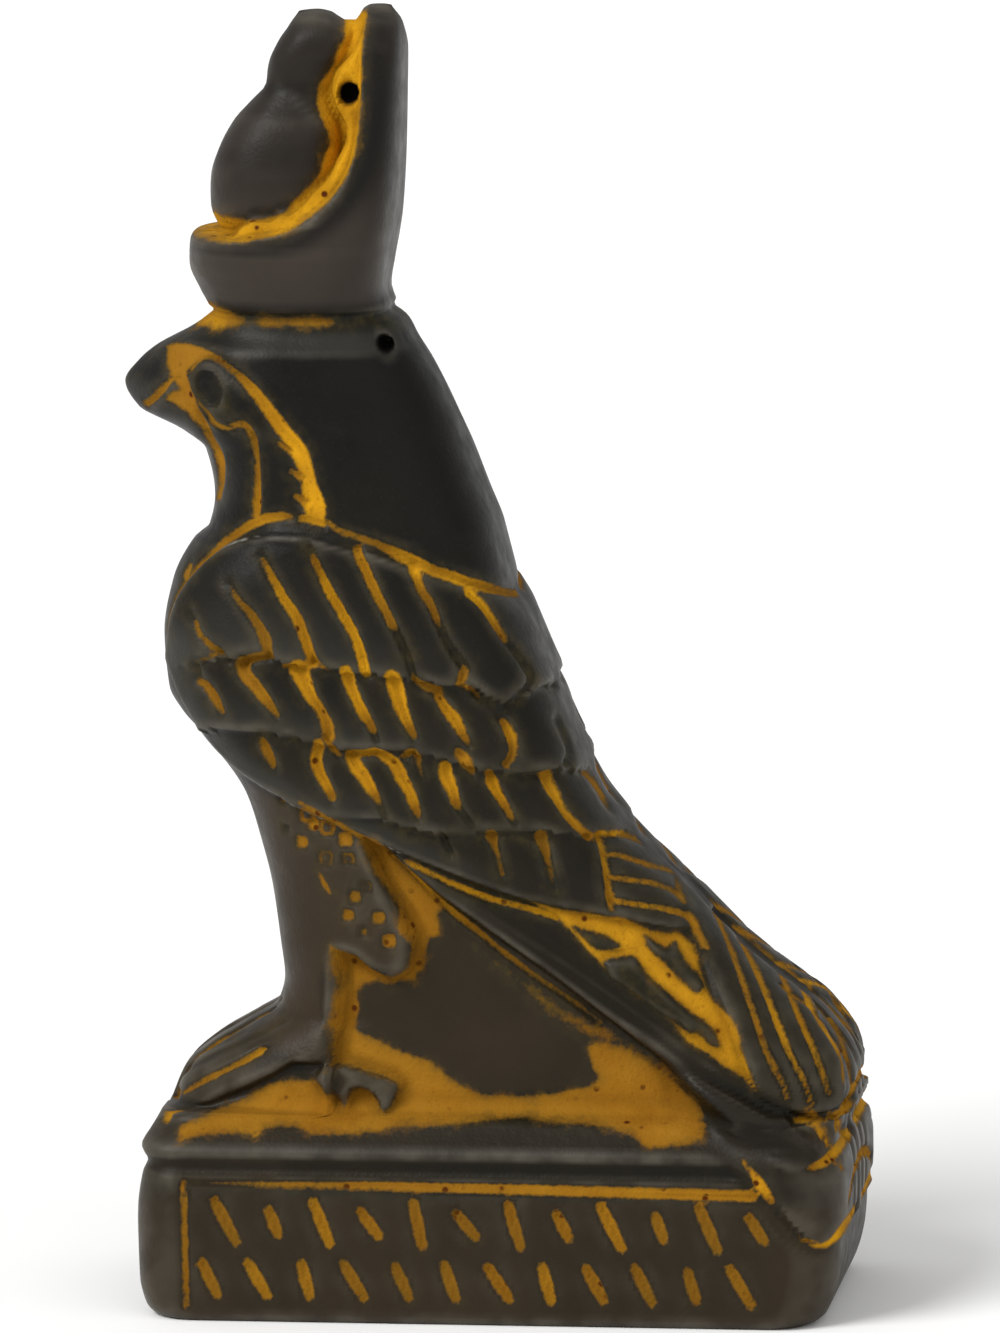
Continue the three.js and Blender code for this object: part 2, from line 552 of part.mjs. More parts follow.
function falcon() {
  const plinth = plinthSolid();
  let body = figureSolid();
  body = cutDownTo(body, [gridSlab(WEB)], flatSides(-WEB_DEPTH));
  body = body.add(flatSides(-CLAW_DEPTH).intersect(gridSlab(REAR_CLAW)));
  body = cutDownTo(body, [
    ...TAIL_LINES.map((path) => lineSlab(path, FEATHER_LINE, 2)),
    ...FACE_LINES.map(({ path, width }) => lineSlab(path, width, path.length - 2)),
    eyeCut()
  ], figureSolid(-GROOVE_DEPTH));
  const wing = cutDownTo(wings(), featherCuts(), onSidesOnly(figureSolid(PLATE_RISE - GROOVE_DEPTH)));
  body = crown(body.add(wing));
  body = cutDownTo(body, toeCuts(), figureSolid(-TOE_GAP_DEPTH));
  body = body.subtract(legGap());
  const skin = figureSolid(BAND_RISE).add(plinthSolid(DRAPE_RISE));
  const band = skin.intersect(gridSlab(TAIL_BAND));
  const drape = plinthSolid(DRAPE_RISE).intersect(gridSlab(TAIL_OVER_PLINTH));
  const carvedPlinth = cutDownTo(plinth, plinthStrokes(), plinthSolid(-PANEL_DEPTH));
  const whole = join([body, carvedPlinth, band, drape]);
  const backCore = figureSolid(-GROOVE_DEPTH).add(plinthSolid(-GROOVE_DEPTH));
  return cutDownTo(whole, [...backCuts(), ...archCuts()], backCore);
}

function toGeometry(solid) {
  const mesh = solid.getMesh();
  const geometry = new THREE.BufferGeometry();
  geometry.setAttribute('position', new THREE.BufferAttribute(mesh.vertProperties, 3));
  geometry.setIndex(new THREE.BufferAttribute(mesh.triVerts, 1));
  geometry.computeVertexNormals();
  return geometry;
}

// The drawing's middle lies a little off the middle of the finished piece, so it is moved there.
function onCentre(geometry) {
  geometry.computeBoundingBox();
  const { min, max } = geometry.boundingBox;
  return geometry.translate(0, -(min.y + max.y) / 2, 0);
}

const figure = new THREE.Mesh(onCentre(toGeometry(falcon())), MATERIAL);
figure.name = 'horus_falcon_figure';

const part = new THREE.Group();
part.add(figure);

export default part;
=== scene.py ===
# %% [markdown]
# # A cast falcon with the double crown
# The real object is a souvenir figure about 17 cm tall. It was cast in one piece with its plinth from
# stone dust and a binder, stained nearly black, brushed with ochre pigment and rubbed down again, so
# the pigment stays in the carved lines. The model frame holds its true size. This lesson builds the
# fine surface over it as one grid of points, and then paints and wears that surface.

# %% Load the frame
import math
import bmesh
import bpy
import numpy as np
from mathutils import Matrix, Vector


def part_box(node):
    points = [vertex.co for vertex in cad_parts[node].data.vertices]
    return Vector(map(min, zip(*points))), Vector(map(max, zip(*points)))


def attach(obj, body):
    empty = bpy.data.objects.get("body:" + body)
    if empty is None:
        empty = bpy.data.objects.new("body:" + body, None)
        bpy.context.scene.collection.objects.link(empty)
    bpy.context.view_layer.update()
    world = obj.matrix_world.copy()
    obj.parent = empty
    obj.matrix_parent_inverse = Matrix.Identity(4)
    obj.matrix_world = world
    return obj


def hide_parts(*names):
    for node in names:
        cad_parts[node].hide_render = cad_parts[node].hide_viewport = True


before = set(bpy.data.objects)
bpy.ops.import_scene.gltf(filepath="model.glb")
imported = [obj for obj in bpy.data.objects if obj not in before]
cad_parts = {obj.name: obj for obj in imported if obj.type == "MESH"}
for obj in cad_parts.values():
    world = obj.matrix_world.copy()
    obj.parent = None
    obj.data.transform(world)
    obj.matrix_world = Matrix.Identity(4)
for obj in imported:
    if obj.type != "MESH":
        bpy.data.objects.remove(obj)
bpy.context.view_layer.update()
print("frame nodes:", sorted(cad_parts))

# %% [markdown]
# ## The carver's grid
# The figure was laid out on squares, 28.8 of them from the plinth's top to the crown's tip. Every
# point of the side view is a pair of squares: how far back, and how high above the plinth. We could
# write millimetres instead, but squares keep the drawing true if the frame ever changes size.

# %% Sizes, worked out from the frame
# The drawn values are the heights of the whole and of its plinth in the side drawing, which is scaled
# to the frame. The beak's tip lies at FRONT_SQUARE. The ledge and the drape are in millimetres, and
# the lean is a slope.
NODE = "horus_falcon_figure"
MM = 0.001
DRAWN_HEIGHT = 170.3
DRAWN_PLINTH = 26.3
SQUARES_HIGH = 28.8
FRONT_SQUARE = -9.78
SIDE_LEDGE = 3.6
DRAPE = 0.75
SIDE_LEAN = 0.014
low, high = (np.array(corner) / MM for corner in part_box(NODE))
PLINTH = (high[2] - low[2]) * DRAWN_PLINTH / DRAWN_HEIGHT
SQUARE = (high[2] - low[2] - PLINTH) / SQUARES_HIGH
HALF = high[0] - SIDE_LEDGE - DRAPE
SHIFT = low[1] - FRONT_SQUARE * SQUARE
print(f"plinth {PLINTH:.1f} mm, square {SQUARE:.2f} mm, half width {HALF:.1f} mm")

# %% Curves and steps that many cells use


def ease(value):
    """A soft step: 0 below 0, 1 above 1, and three times its square less twice its cube between."""
    value = np.clip(value, 0, 1)
    return value * value * (3 - 2 * value)


def through(x, knots, values):
    """A smooth curve through points that never overshoots them. Each piece is a cubic. Its slope at a
    point is the harmonic mean of the straight slopes on both sides, or 0 where these differ in sign."""
    knots, values = np.asarray(knots, float), np.asarray(values, float)
    slope = np.diff(values) / np.diff(knots)
    before, after = slope[:-1], slope[1:]
    same = before * after > 0
    inner = np.where(same, 2 * before * after / np.where(same, before + after, 1), 0)
    tangent = np.concatenate([slope[:1], inner, slope[-1:]])
    place = np.clip(np.searchsorted(knots, x) - 1, 0, len(slope) - 1)
    width = knots[place + 1] - knots[place]
    t = np.clip((x - knots[place]) / width, 0, 1)
    return ((2 * t**3 - 3 * t**2 + 1) * values[place] + (3 * t**2 - 2 * t**3) * values[place + 1]
            + width * ((t**3 - 2 * t**2 + t) * tangent[place] + (t**3 - t**2) * tangent[place + 1]))


def soft_least(a, b, round_off):
    """The smaller of two values, with the corner between them rounded off."""
    return (a + b - np.sqrt((a - b) ** 2 + round_off**2)) / 2


def soft_most(a, b, round_off):
    """The larger of two values, with the corner between them rounded off."""
    return -soft_least(-a, -b, round_off)


def soft_path(points, steps=8):
    """Points on a smooth curve through the given ones: on each piece, a cubic whose slopes at its ends
    are half the chord between the neighbours."""
    points = np.asarray(points, float)
    ends = np.vstack([2 * points[0] - points[1], points, 2 * points[-1] - points[-2]])
    a, b, c, d = (ends[i:len(ends) - 3 + i, None] for i in range(4))
    t = np.linspace(0, 1, steps, endpoint=False)[None, :, None]
    curve = 0.5 * (2 * b + (c - a) * t + (2 * a - 5 * b + 4 * c - d) * t**2
                   + (3 * b - a - 3 * c + d) * t**3)
    return np.vstack([curve.reshape(-1, points.shape[1]), points[-1:]])


# %% [markdown]
# ## The body as level sections
# A carver roughs a bird out of a block by its side view and its front view. Level sections do the
# same: each has a front, a back, a width and a fullness, where 1 is a wedge, 2 an ellipse and 4
# nearly a box. A mesh from boxes and a subdivision modifier would need its carving pushed in by
# hand, but a section is a formula, so the carving can be added to it as numbers.

# %% The sections, in squares, from the feet to the tip of the crown
# height, front, back, share of the half width, fullness in front, fullness behind
SECTIONS = np.array([
    (0, -8.78, 9.42, 1.06, 3.2, 3.8), (0.9, -8.38, 9.42, 1.05, 3, 3.7), (1.5, -7.7, 9.2, 1.04, 3, 3.6),
    (2.1, -6.68, 8.76, 1.04, 3, 3.4), (2.6, -5.92, 8.32, 1.03, 3, 3.2), (3.4, -5.7, 7.22, 1.02, 3, 3.1),
    (4.2, -5.78, 6.24, 1.01, 3, 3), (5.8, -6, 4.66, 1, 2.8, 3), (7, -6.3, 3.42, 1, 2.6, 3),
    (8.2, -6.68, 2.48, 1.01, 2.5, 3.2), (9.8, -7.84, 1.8, 1.02, 2.4, 3.2),
    (10.4, -8.36, 1.58, 1.03, 2.4, 3.2), (11, -8.68, 1.36, 1.03, 2.4, 3.2),
    (12.4, -8.78, 0.86, 1.02, 2.4, 3.2), (13.8, -8.52, 0.38, 0.98, 2.4, 3.2),
    (14.8, -8, 0.14, 0.92, 2.3, 3.1), (15.2, -7.56, 0.04, 0.9, 2.3, 3.1), (16, -7.4, -0.26, 0.855, 2.2, 3),
    (17.2, -7.63, -0.7, 0.805, 2.1, 3), (17.7, -8.32, -0.9, 0.785, 1.6, 2.9),
    (18.2, -9.4, -1.1, 0.76, 1.1, 2.8), (18.9, -9.78, -1.42, 0.735, 1, 2.8),
    (19.5, -9.36, -1.73, 0.7, 1.2, 2.8), (20.1, -8.58, -2.1, 0.665, 1.7, 2.8),
    (20.6, -7.82, -2.34, 0.62, 2.1, 3), (20.92, -7.5, -2.62, 0.59, 2.2, 3.2),
    (21.4, -7.7, -2.82, 0.64, 2.2, 3.6), (22.1, -7.96, -2.73, 0.705, 2.3, 4),
    (22.7, -7.92, -2.62, 0.74, 2.4, 4), (23.3, -7.6, -2.52, 0.715, 2.4, 4), (25, -7.24, -2.37, 0.6, 2.3, 4),
    (26.5, -6.2, -2.3, 0.5, 2.3, 4), (27.7, -5.6, -2.26, 0.43, 2.3, 4), (28.4, -5.1, -2.34, 0.34, 2.3, 3),
    (28.8, -3.6, -2.6, 0.12, 2.2, 2.2)
])


def section_values(height):
    """Front, back, half width and both fullnesses at each height, in millimetres where they are sizes."""
    front, back, share, full_front, full_back = (
        through(height, SECTIONS[:, 0], SECTIONS[:, column]) for column in range(1, 6))
    return front * SQUARE, back * SQUARE, share * HALF, full_front, full_back


def law(y, front, back, half_width, full_front, full_back):
    """Half width of a section at y: one less the distance from its middle raised to the fullness, and
    then the root of that. Nothing is left outside its front and back."""
    t = np.clip(2 * (y - front) / (back - front) - 1, -1, 1)
    full = np.where(t < 0, full_front, full_back)
    return half_width * np.maximum(0, 1 - np.abs(t) ** np.maximum(2, full)) ** (1 / full)


# %% [markdown]
# ## Rows and columns
# The whole surface is one grid. Its rows are level rings from the floor to the crown, closer
# together where the carving is fine. The grid stays under 200,000 triangles, so the spacing of the
# rows is the budget: about half a millimetre on the bird, and more on the plain block and crown.

# %% Heights of the rows, in millimetres above the plinth's top
COLUMNS = 158


def spaced(*spans):
    """Heights over one span after another: each span is its start, its end and its spacing."""
    parts = [np.linspace(start, end, max(2, round((end - start) / gap) + 1))[:-1]
             for start, end, gap in spans]
    return np.concatenate([*parts, [spans[-1][1]]])


RIM = 22.94 * SQUARE
TOP = SQUARES_HIGH * SQUARE
CAP = 27.2 * SQUARE
heights = spaced(
    (-PLINTH, -PLINTH + 1.4, 0.35), (-PLINTH + 1.4, -7, 0.72), (-7, -1.2, 0.6), (-1.2, 1.6, 0.28),
    (1.6, 16 * SQUARE, 0.53), (16 * SQUARE, 21 * SQUARE, 0.5), (21 * SQUARE, RIM - 1, 0.8),
    (RIM - 1, RIM + 1.6, 0.26), (RIM + 1.6, CAP, 0.75), (CAP, TOP, 0.5))
row_height = heights[:, None]
print(len(heights), "rows of", 2 * COLUMNS, "points")

# %% [markdown]
# ## The crown
# The double crown is a cup with a tall spire behind, and a ball with a knob standing in it. At one
# height these are separate shapes, but each is symmetric, so the widest of them at each place gives
# the outline. A soft maximum joins them with the small fillet that a cast piece has.

# %% Shapes of the crown, in squares
# BALL is a row of circles for the ball and its knob: height, middle and radius. HOLLOW_EDGE is the
# hollow's edge in the side view, FLOOR_FRONT its front at each height, and TOP_LINE the top's height at
# each place. CROWN_DEPTH is how deep the hollow is cut into the crown, in millimetres.
BALL = np.array([
    (22.6, -5.73, 1.28), (23, -5.73, 1.43), (23.6, -5.68, 1.7), (24.4, -5.6, 1.76), (25.1, -5.47, 1.66),
    (25.8, -5.3, 1.44), (26.3, -5.16, 1.12), (26.7, -4.98, 0.93), (27.1, -4.86, 0.99), (27.6, -4.69, 1.05),
    (28.1, -4.5, 1.02), (28.5, -4.32, 0.94), (28.8, -4.28, 0.74)
])
HOLLOW_EDGE = soft_path([
    (-10, 22.96), (-7.6, 22.94), (-6.3, 22.94), (-5, 23.24), (-3.95, 24.02), (-3.42, 24.95), (-3.22, 26.5),
    (-3.2, 27.9), (-3.22, 30)
])
FLOOR_FRONT = [
    (22.9, -6.95), (23.34, -6.35), (23.42, -5.7), (23.55, -5.3), (23.76, -5.01), (24.02, -4.8),
    (24.26, -4.51), (24.54, -4.29), (24.83, -4.16), (25.09, -4.02), (25.38, -3.91), (25.69, -3.91),
    (25.97, -4.03), (26.28, -4.21), (26.62, -4.28), (26.98, -4.23), (27.3, -4.04), (27.61, -3.82),
    (27.92, -3.64), (28.18, -3.5), (28.8, -3.35)
]
CROWN_DEPTH = 2
TOP_LINE = [
    (-6, 28.2), (-5.73, 28.35), (-5.5, 28.45), (-5.25, 28.52), (-4.9, 28.63), (-4.53, 28.66), (-4.19, 28.6),
    (-3.96, 28.46), (-3.8, 28.38), (-3.55, 28.38), (-3.44, 28.5), (-3.3, 28.7), (-3.1, 28.79),
    (-2.85, 28.8), (-2.55, 28.76), (-2.4, 28.7), (-2.2, 28.4)
]


def nearest_on(path, y, z):
    """Distance in millimetres from each point to a path of straight pieces in squares, and then each
    further column of the path, read at the nearest place."""
    path = np.asarray(path, float)
    spots = path[:, :2] * SQUARE
    found = [np.full(y.shape, 1e6)] + [np.zeros(y.shape) for _ in range(path.shape[1] - 2)]
    for start, end, first, last in zip(spots[:-1], spots[1:], path[:-1, 2:], path[1:, 2:]):
        ahead = end - start
        along = (y - start[0]) * ahead[0] + (z - start[1]) * ahead[1]
        t = np.clip(along / max(ahead @ ahead, 1e-9), 0, 1)
        gap = np.hypot(y - start[0] - t * ahead[0], z - start[1] - t * ahead[1])
        closer = gap < found[0]
        here = [gap] + [a + t * (b - a) for a, b in zip(first, last)]
        found = [np.where(closer, new, old) for new, old in zip(here, found)]
    return found


def area_distance(outline, y, z):
    """Distance to the edge of a closed outline in squares, positive inside it. A point is inside when
    a level line from it crosses the outline an odd number of times."""
    closed = np.vstack([outline, outline[:1]])
    gap, = nearest_on(closed, y, z)
    inside = np.zeros(gap.shape, bool)
    for (y0, z0), (y1, z1) in zip(closed[:-1] * SQUARE, closed[1:] * SQUARE):
        spans = (z0 > z) != (z1 > z)
        with np.errstate(divide="ignore", invalid="ignore"):
            crossing = y0 + (z - z0) * (y1 - y0) / (z1 - z0)
        inside ^= spans & (y < crossing)
    return np.where(inside, gap, -gap)


def rounded_area(points, y, z, steps=5):
    """area_distance for an outline drawn as a smooth closed curve."""
    points = np.asarray(points, float)
    looped = np.vstack([points[-2:], points, points[:2]])
    curve = soft_path(looped, steps)[2 * steps:-2 * steps - 1]
    return area_distance(curve, y, z)


def hollow_depth(y, z):
    """How far inside the crown's hollow a place is, in millimetres, negative outside."""
    outline = np.vstack([HOLLOW_EDGE, [(-10, 30)]])
    return area_distance(outline, y, z)


# %% [markdown]
# ## One outline for each row
# Each row starts as a dense half outline, from the middle of the front round to the middle of the
# back. The flat sides of the block clip it softly, and the plinth has its own rounded oblong.

# %% Dense half outlines of every row
SAMPLES = 420
SIDE_ROUNDING = 1.6
FLOOR_SLOPE = 2.2
BALL_FULLNESS = 2.4
BRIDGE_HALF = 3.0
CROWN_FILLET = 0.5
NO_HOLLOW = -9.0
turn = np.linspace(0, math.pi, SAMPLES)[None, :]
ball_centre = through(row_height / SQUARE, BALL[:, 0], BALL[:, 1]) * SQUARE
ball_radius = through(row_height / SQUARE, BALL[:, 0], BALL[:, 2]) * SQUARE
front, back, half_width, full_front, full_back = section_values(np.maximum(row_height, 0) / SQUARE)
floor_front = through(row_height / SQUARE, *np.array(FLOOR_FRONT).T) * SQUARE
open_share = ease((row_height - RIM) / 0.5 + 0.5)
crown_front = np.minimum(ball_centre - ball_radius, np.maximum(floor_front, front + CROWN_DEPTH))
row_front = front + (crown_front - front) * open_share

y = row_front + (1 - np.cos(turn)) / 2 * (back - row_front)
flat_side = HALF - SIDE_LEAN * row_height
solid = law(y, front, back, half_width, full_front, full_back)
solid = np.where(solid > 0.02, np.maximum(0, soft_least(solid, flat_side, SIDE_ROUNDING)), 0)
inner = law(y, front + CROWN_DEPTH, back - CROWN_DEPTH, half_width - CROWN_DEPTH, full_front, full_back)
inner = inner * ease((y - floor_front) / FLOOR_SLOPE)
ball_place = np.abs(y - ball_centre) / ball_radius
ball = ball_radius * np.maximum(0, 1 - ball_place**BALL_FULLNESS) ** (1 / BALL_FULLNESS)
behind_ball = (y > ball_centre) & (y < floor_front + FLOOR_SLOPE)
ball = np.maximum(ball, np.where(behind_ball, BRIDGE_HALF, 0))
hollow = hollow_depth(y, np.broadcast_to(row_height, y.shape))
hollow = np.where(row_height > RIM - 2, hollow, NO_HOLLOW)
opened = ease(hollow / 0.7 + 0.5) * (row_height > RIM - 0.5)
overlap = np.minimum(inner, ball) > 0
within = np.where(overlap, soft_most(inner, ball, CROWN_FILLET), np.maximum(inner, ball))
x = solid + (within - solid) * opened
print("sections:", x.shape)

# %% Close the top, and lay the plinth under the feet
# The last rows are squeezed under the top line, which dips between the knob and the spire.
cap_share = np.clip((row_height - CAP) / (TOP - CAP), 0, 1)
top_line = through(y / SQUARE, *np.array(TOP_LINE).T) * SQUARE
z = np.where(row_height > CAP, CAP + cap_share * (top_line - CAP), row_height)
x = x * np.sqrt(np.maximum(0, 1 - cap_share**4))

# Each pair of EDGE, NOSE and HEEL is a height, and how far the block is drawn in there: all round, at
# the front and at the back.
PLINTH_CORNER = 6
FOOT_EASE = 1.3
TOE_LEDGE = 2.6
EDGE = [
    (-PLINTH, FOOT_EASE), (-PLINTH + 0.5, FOOT_EASE * 0.55), (-PLINTH + 1.5, FOOT_EASE * 0.22),
    (-PLINTH / 2, 0), (-6.7, 0.03), (-5.8, 0.1), (-4.8, 0.28), (-4, 0.5), (-3.4, 0.8), (-2.6, 1.5),
    (-1.2, 2.7), (0, SIDE_LEDGE)
]
draw_in = through(row_height, *np.array(EDGE).T)
NOSE = [
    (-PLINTH, 1.2), (-PLINTH + 1.3, 0.75), (-PLINTH + 2.6, 0.35), (-PLINTH + 4.7, 0), (-14, 0),
    (-11.5, 0.1), (-9.5, 0.35), (-7.5, 0.65), (-5.4, 0.45), (-3.4, 0.1), (0, 0.1)
]
HEEL = [
    (-PLINTH, 2.9), (-PLINTH + 1.3, 2), (-PLINTH + 2.8, 1.35), (-PLINTH + 4.8, 0.8), (-19, 0.4),
    (-15, 0.15), (-10, 0), (0, 0)
]
block_half = HALF + SIDE_LEDGE - draw_in
block_front = front - TOE_LEDGE + draw_in * TOE_LEDGE / SIDE_LEDGE + through(row_height, *np.array(NOSE).T)
block_back = back - 1 - np.minimum(draw_in, FOOT_EASE) - through(row_height, *np.array(HEEL).T)
# The block's outline is a rounded oblong, walked from its front over a corner, along its side and
# over the other corner to its back. These are the shares of the walk where one piece ends.
FRONT_END, SIDE_START, SIDE_END, BACK_START = 0.14, 0.26, 0.76, 0.86
walk = np.linspace(0, 1, SAMPLES)[None, :]
bend_front = ease((walk - FRONT_END) / (SIDE_START - FRONT_END)) * math.pi / 2
bend_back = ease((walk - SIDE_END) / (BACK_START - SIDE_END)) * math.pi / 2
straight_front = np.clip(walk / FRONT_END, 0, 1) * (block_half - PLINTH_CORNER)
straight_back = np.clip((walk - BACK_START) / (1 - BACK_START), 0, 1) * (block_half - PLINTH_CORNER)
side_length = block_back - block_front - 2 * PLINTH_CORNER
straight_side = np.clip((walk - SIDE_START) / (SIDE_END - SIDE_START), 0, 1) * side_length
block_x = straight_front + PLINTH_CORNER * (np.sin(bend_front) + np.cos(bend_back) - 1) - straight_back
block_y = (block_front + PLINTH_CORNER * (1 - np.cos(bend_front)) + straight_side
           + PLINTH_CORNER * np.sin(bend_back))
in_block = row_height < 0.25
x = np.where(in_block, block_x, x)
y = np.where(in_block, block_y, y)

# %% [markdown]
# ## Even columns
# The dense outlines are walked again in steps of even length, so that the points of the grid sit
# evenly. A plain stretch counts for less than a carved one, which is a simple way to give the
# detail its points.

# %% Pick the columns of every row at once


def even_steps(x, y, z, weight):
    """Points at even steps of weighted length along every row. The running lengths of the rows are
    set one after another on a single scale, so one call of np.interp reads all rows."""
    run = np.zeros(x.shape)
    length = np.sqrt(np.diff(x, axis=1) ** 2 + np.diff(y, axis=1) ** 2 + np.diff(z, axis=1) ** 2)
    run[:, 1:] = np.cumsum(length * (weight[:, 1:] + weight[:, :-1]) / 2 + 1e-9, axis=1)
    run = run / run[:, -1:] + 2 * np.arange(len(x))[:, None]
    wanted = np.linspace(0, 1, COLUMNS + 1)[None, :] + 2 * np.arange(len(x))[:, None]
    return [np.interp(wanted.ravel(), run.ravel(), values.ravel()).reshape(wanted.shape)
            for values in (x, y, z)]


END_WEIGHT = 0.62
PLAIN_END_SAVING = 0.2
PLAIN_WEB_SAVING = 0.35
facing = np.gradient(y, axis=1) / (np.hypot(np.gradient(x, axis=1), np.gradient(y, axis=1)) + 1e-9)
plain_back = (y > (row_front + back) / 2) * ease((row_height - 5 * SQUARE) / (3 * SQUARE))
plain_front = (y < (row_front + back) / 2) * ease((row_height - 3 * SQUARE) / (3 * SQUARE))
weight = END_WEIGHT + (1 - END_WEIGHT) * ease(facing)
weight = weight - PLAIN_END_SAVING * np.maximum(plain_back, plain_front) * (1 - ease(facing))
plain_web = (y > -3.6 * SQUARE) * (y + 1.35 * row_height < 5.6 * SQUARE)
plain_web = plain_web * ease((row_height - 1) / (1.5 * SQUARE))
weight = weight * (1 - PLAIN_WEB_SAVING * plain_web)
z = np.broadcast_to(z, x.shape)
x, y, z = even_steps(x, y, z, weight)
x[:, 0] = x[:, -1] = 0
print("columns placed:", x.shape)

# %% [markdown]
# ## Marks as the eye sees them
# The carver drew the marks on the block's flat side and carried them round its curves by eye. So a
# mark is drawn here on an upright plane beside the bird, and each point of the surface looks up its
# own place on that plane along its line to the eye. Then a line keeps its course where the breast
# and the tail curve away, and it ends where the surface turns out of sight.

# %% Places on the drawing plane
AZIMUTH, ELEVATION, DISTANCE = 98, 9.5, 1.5
DRAWN_AIM = 83.35
AIM_HEIGHT = DRAWN_AIM * (high[2] - low[2]) / DRAWN_HEIGHT
DRAWING_PLANE = 18.0


def direction(azimuth, elevation):
    """The step of length 1 towards an azimuth, counted from the front, and an elevation in degrees."""
    turned, tipped = math.radians(azimuth), math.radians(elevation)
    level = math.cos(tipped)
    return np.array([math.sin(turned) * level, -math.cos(turned) * level, math.sin(tipped)])


away = direction(AZIMUTH, ELEVATION)
eye_x, eye_y, eye_z = away * DISTANCE / MM + np.array([0, 0, AIM_HEIGHT - PLINTH])
along_sight = (DRAWING_PLANE - eye_x) / (x - eye_x)
seen_y = eye_y + (y - eye_y) * along_sight
seen_z = eye_z + (z - eye_z) * along_sight
ring_x, ring_y = np.gradient(x, axis=1), np.gradient(y, axis=1)
ring_step = np.hypot(ring_x, ring_y) + 1e-9
towards_eye = (ring_y * away[0] - ring_x * away[1]) / ring_step
in_sight = ease((x - 1.2) / 2) * ease((towards_eye - 0.02) / 0.1)
print(f"the drawing plane stands {DRAWING_PLANE - HALF:.1f} mm off the flat side")

# %% [markdown]
# ## Carving as depth
# The carving is a number for each point: how far the surface moves along its level normal, in
# millimetres. Each tool mark is a distance to a line or an outline in the side view. Each line's
# points hold a place in squares, the line's width in millimetres and how much pigment is left in it,
# from 0 for a trace to 1 for a full line. Both sides of the bird are alike, so half the ring is
# worked out and then mirrored.

# %% Tool marks and the layers they write to
NOTHING_NEAR = -6.0
depth = np.zeros(x.shape)
pigment = np.full(x.shape, NOTHING_NEAR)
film = np.full(x.shape, NOTHING_NEAR)
glow = np.full(x.shape, 0.7)
broad = np.zeros(x.shape)
on_side = ease((x - HALF * 0.35) / (HALF * 0.25))
MARGIN = 4.0
CURVE_STEPS = 6
LEAST_LINE = 0.2


def lay(inside, strength, where, patch=0.0):
    """Lays pigment where the distance inside its edge beats what is there. Weak pigment draws back from
    its edge and leaves only its thin film. A patch of 1 marks broad paint with a soft edge."""
    better = where & (inside > film)
    film[better] = inside[better]
    held = inside - 1.5 * ease((0.6 - strength) / 0.6)
    better = where & (held > pigment)
    pigment[better] = held[better]
    glow[better] = np.broadcast_to(strength, inside.shape)[better]
    broad[better] = patch


def engrave(points, deep, seen=False):
    """Cuts a line into the sides and lays its pigment. The cut is a rounded V with soft shoulders. A seen
    line is drawn on the drawing plane, and any other one straight across."""
    across, up, shown = (seen_y, seen_z, in_sight) if seen else (y, z, on_side)
    path = soft_path(points, CURVE_STEPS)
    lowest, highest = path[:, :2].min(0) * SQUARE - MARGIN, path[:, :2].max(0) * SQUARE + MARGIN
    near = (across > lowest[0]) & (across < highest[0]) & (up > lowest[1]) & (up < highest[1])
    near = near & (shown > 0.02)
    gap, width, strength = nearest_on(path, across[near], up[near])
    half = np.maximum(width * 0.46 + 0.03, LEAST_LINE)
    reach = np.maximum(half, 0.45) + 0.2
    shape = 0.8 * ease(1 - gap / reach) + 0.2 * np.exp(-(gap / (half + 0.7)) ** 2)
    depth[near] -= deep * np.minimum(1, half / 0.55) * shape * shown[near]
    inside = np.full(x.shape, NOTHING_NEAR)
    power = np.zeros(x.shape)
    inside[near], power[near] = np.maximum(half, 0.34) - gap, strength
    lay(inside, power, near & (shown > 0.1))


def engrave_all(paths, deep, seen=True):
    """Cuts every line of a list."""
    for path in paths:
        engrave(path, deep, seen)


def plate(outline, edge=0.7, seen=False):
    """The share of a raised plate at each point, eased over its edge's width."""
    across, up = (seen_y, seen_z) if seen else (y, z)
    return ease(rounded_area(outline, across, up) / edge + 0.5)


# %% [markdown]
# ## Wing, tail and web
# The wing is one raised plate with a rounded edge. Under it the edge of the tail runs down as a
# smooth bar, and the web between leg and tail is sunk.

# %% Raised and sunken forms
WING = [
    (-8.11, 12.11), (-8.08, 12.63), (-8.01, 13.16), (-7.87, 13.63), (-7.67, 14.05), (-7.35, 14.48),
    (-6.98, 14.82), (-6.55, 15.11), (-6.08, 15.28), (-5.56, 15.39), (-5.03, 15.42), (-4.51, 15.37),
    (-3.89, 15.21), (-3.26, 15.03), (-2.64, 14.9), (-2.02, 14.7), (-1.29, 14.45), (-0.57, 14.19),
    (0.06, 13.94), (0.68, 13.76), (1.3, 13.64), (3.4, 12.9), (5, 13.2), (12, 13.2), (12, 4.5), (7.02, 5.13),
    (6.09, 5.85), (5.62, 5.32), (5.15, 5.23), (4.63, 5.25), (3.17, 5.52), (2.24, 5.68), (1.25, 5.88),
    (0.16, 6.22), (-0.88, 6.61), (-1.92, 7.02), (-2.65, 7.35), (-3.69, 7.79), (-4.73, 8.25), (-5.36, 8.63),
    (-6.08, 9.08), (-6.6, 9.51), (-7.12, 10.1), (-7.47, 10.64), (-7.75, 11.11), (-7.95, 11.61)
]
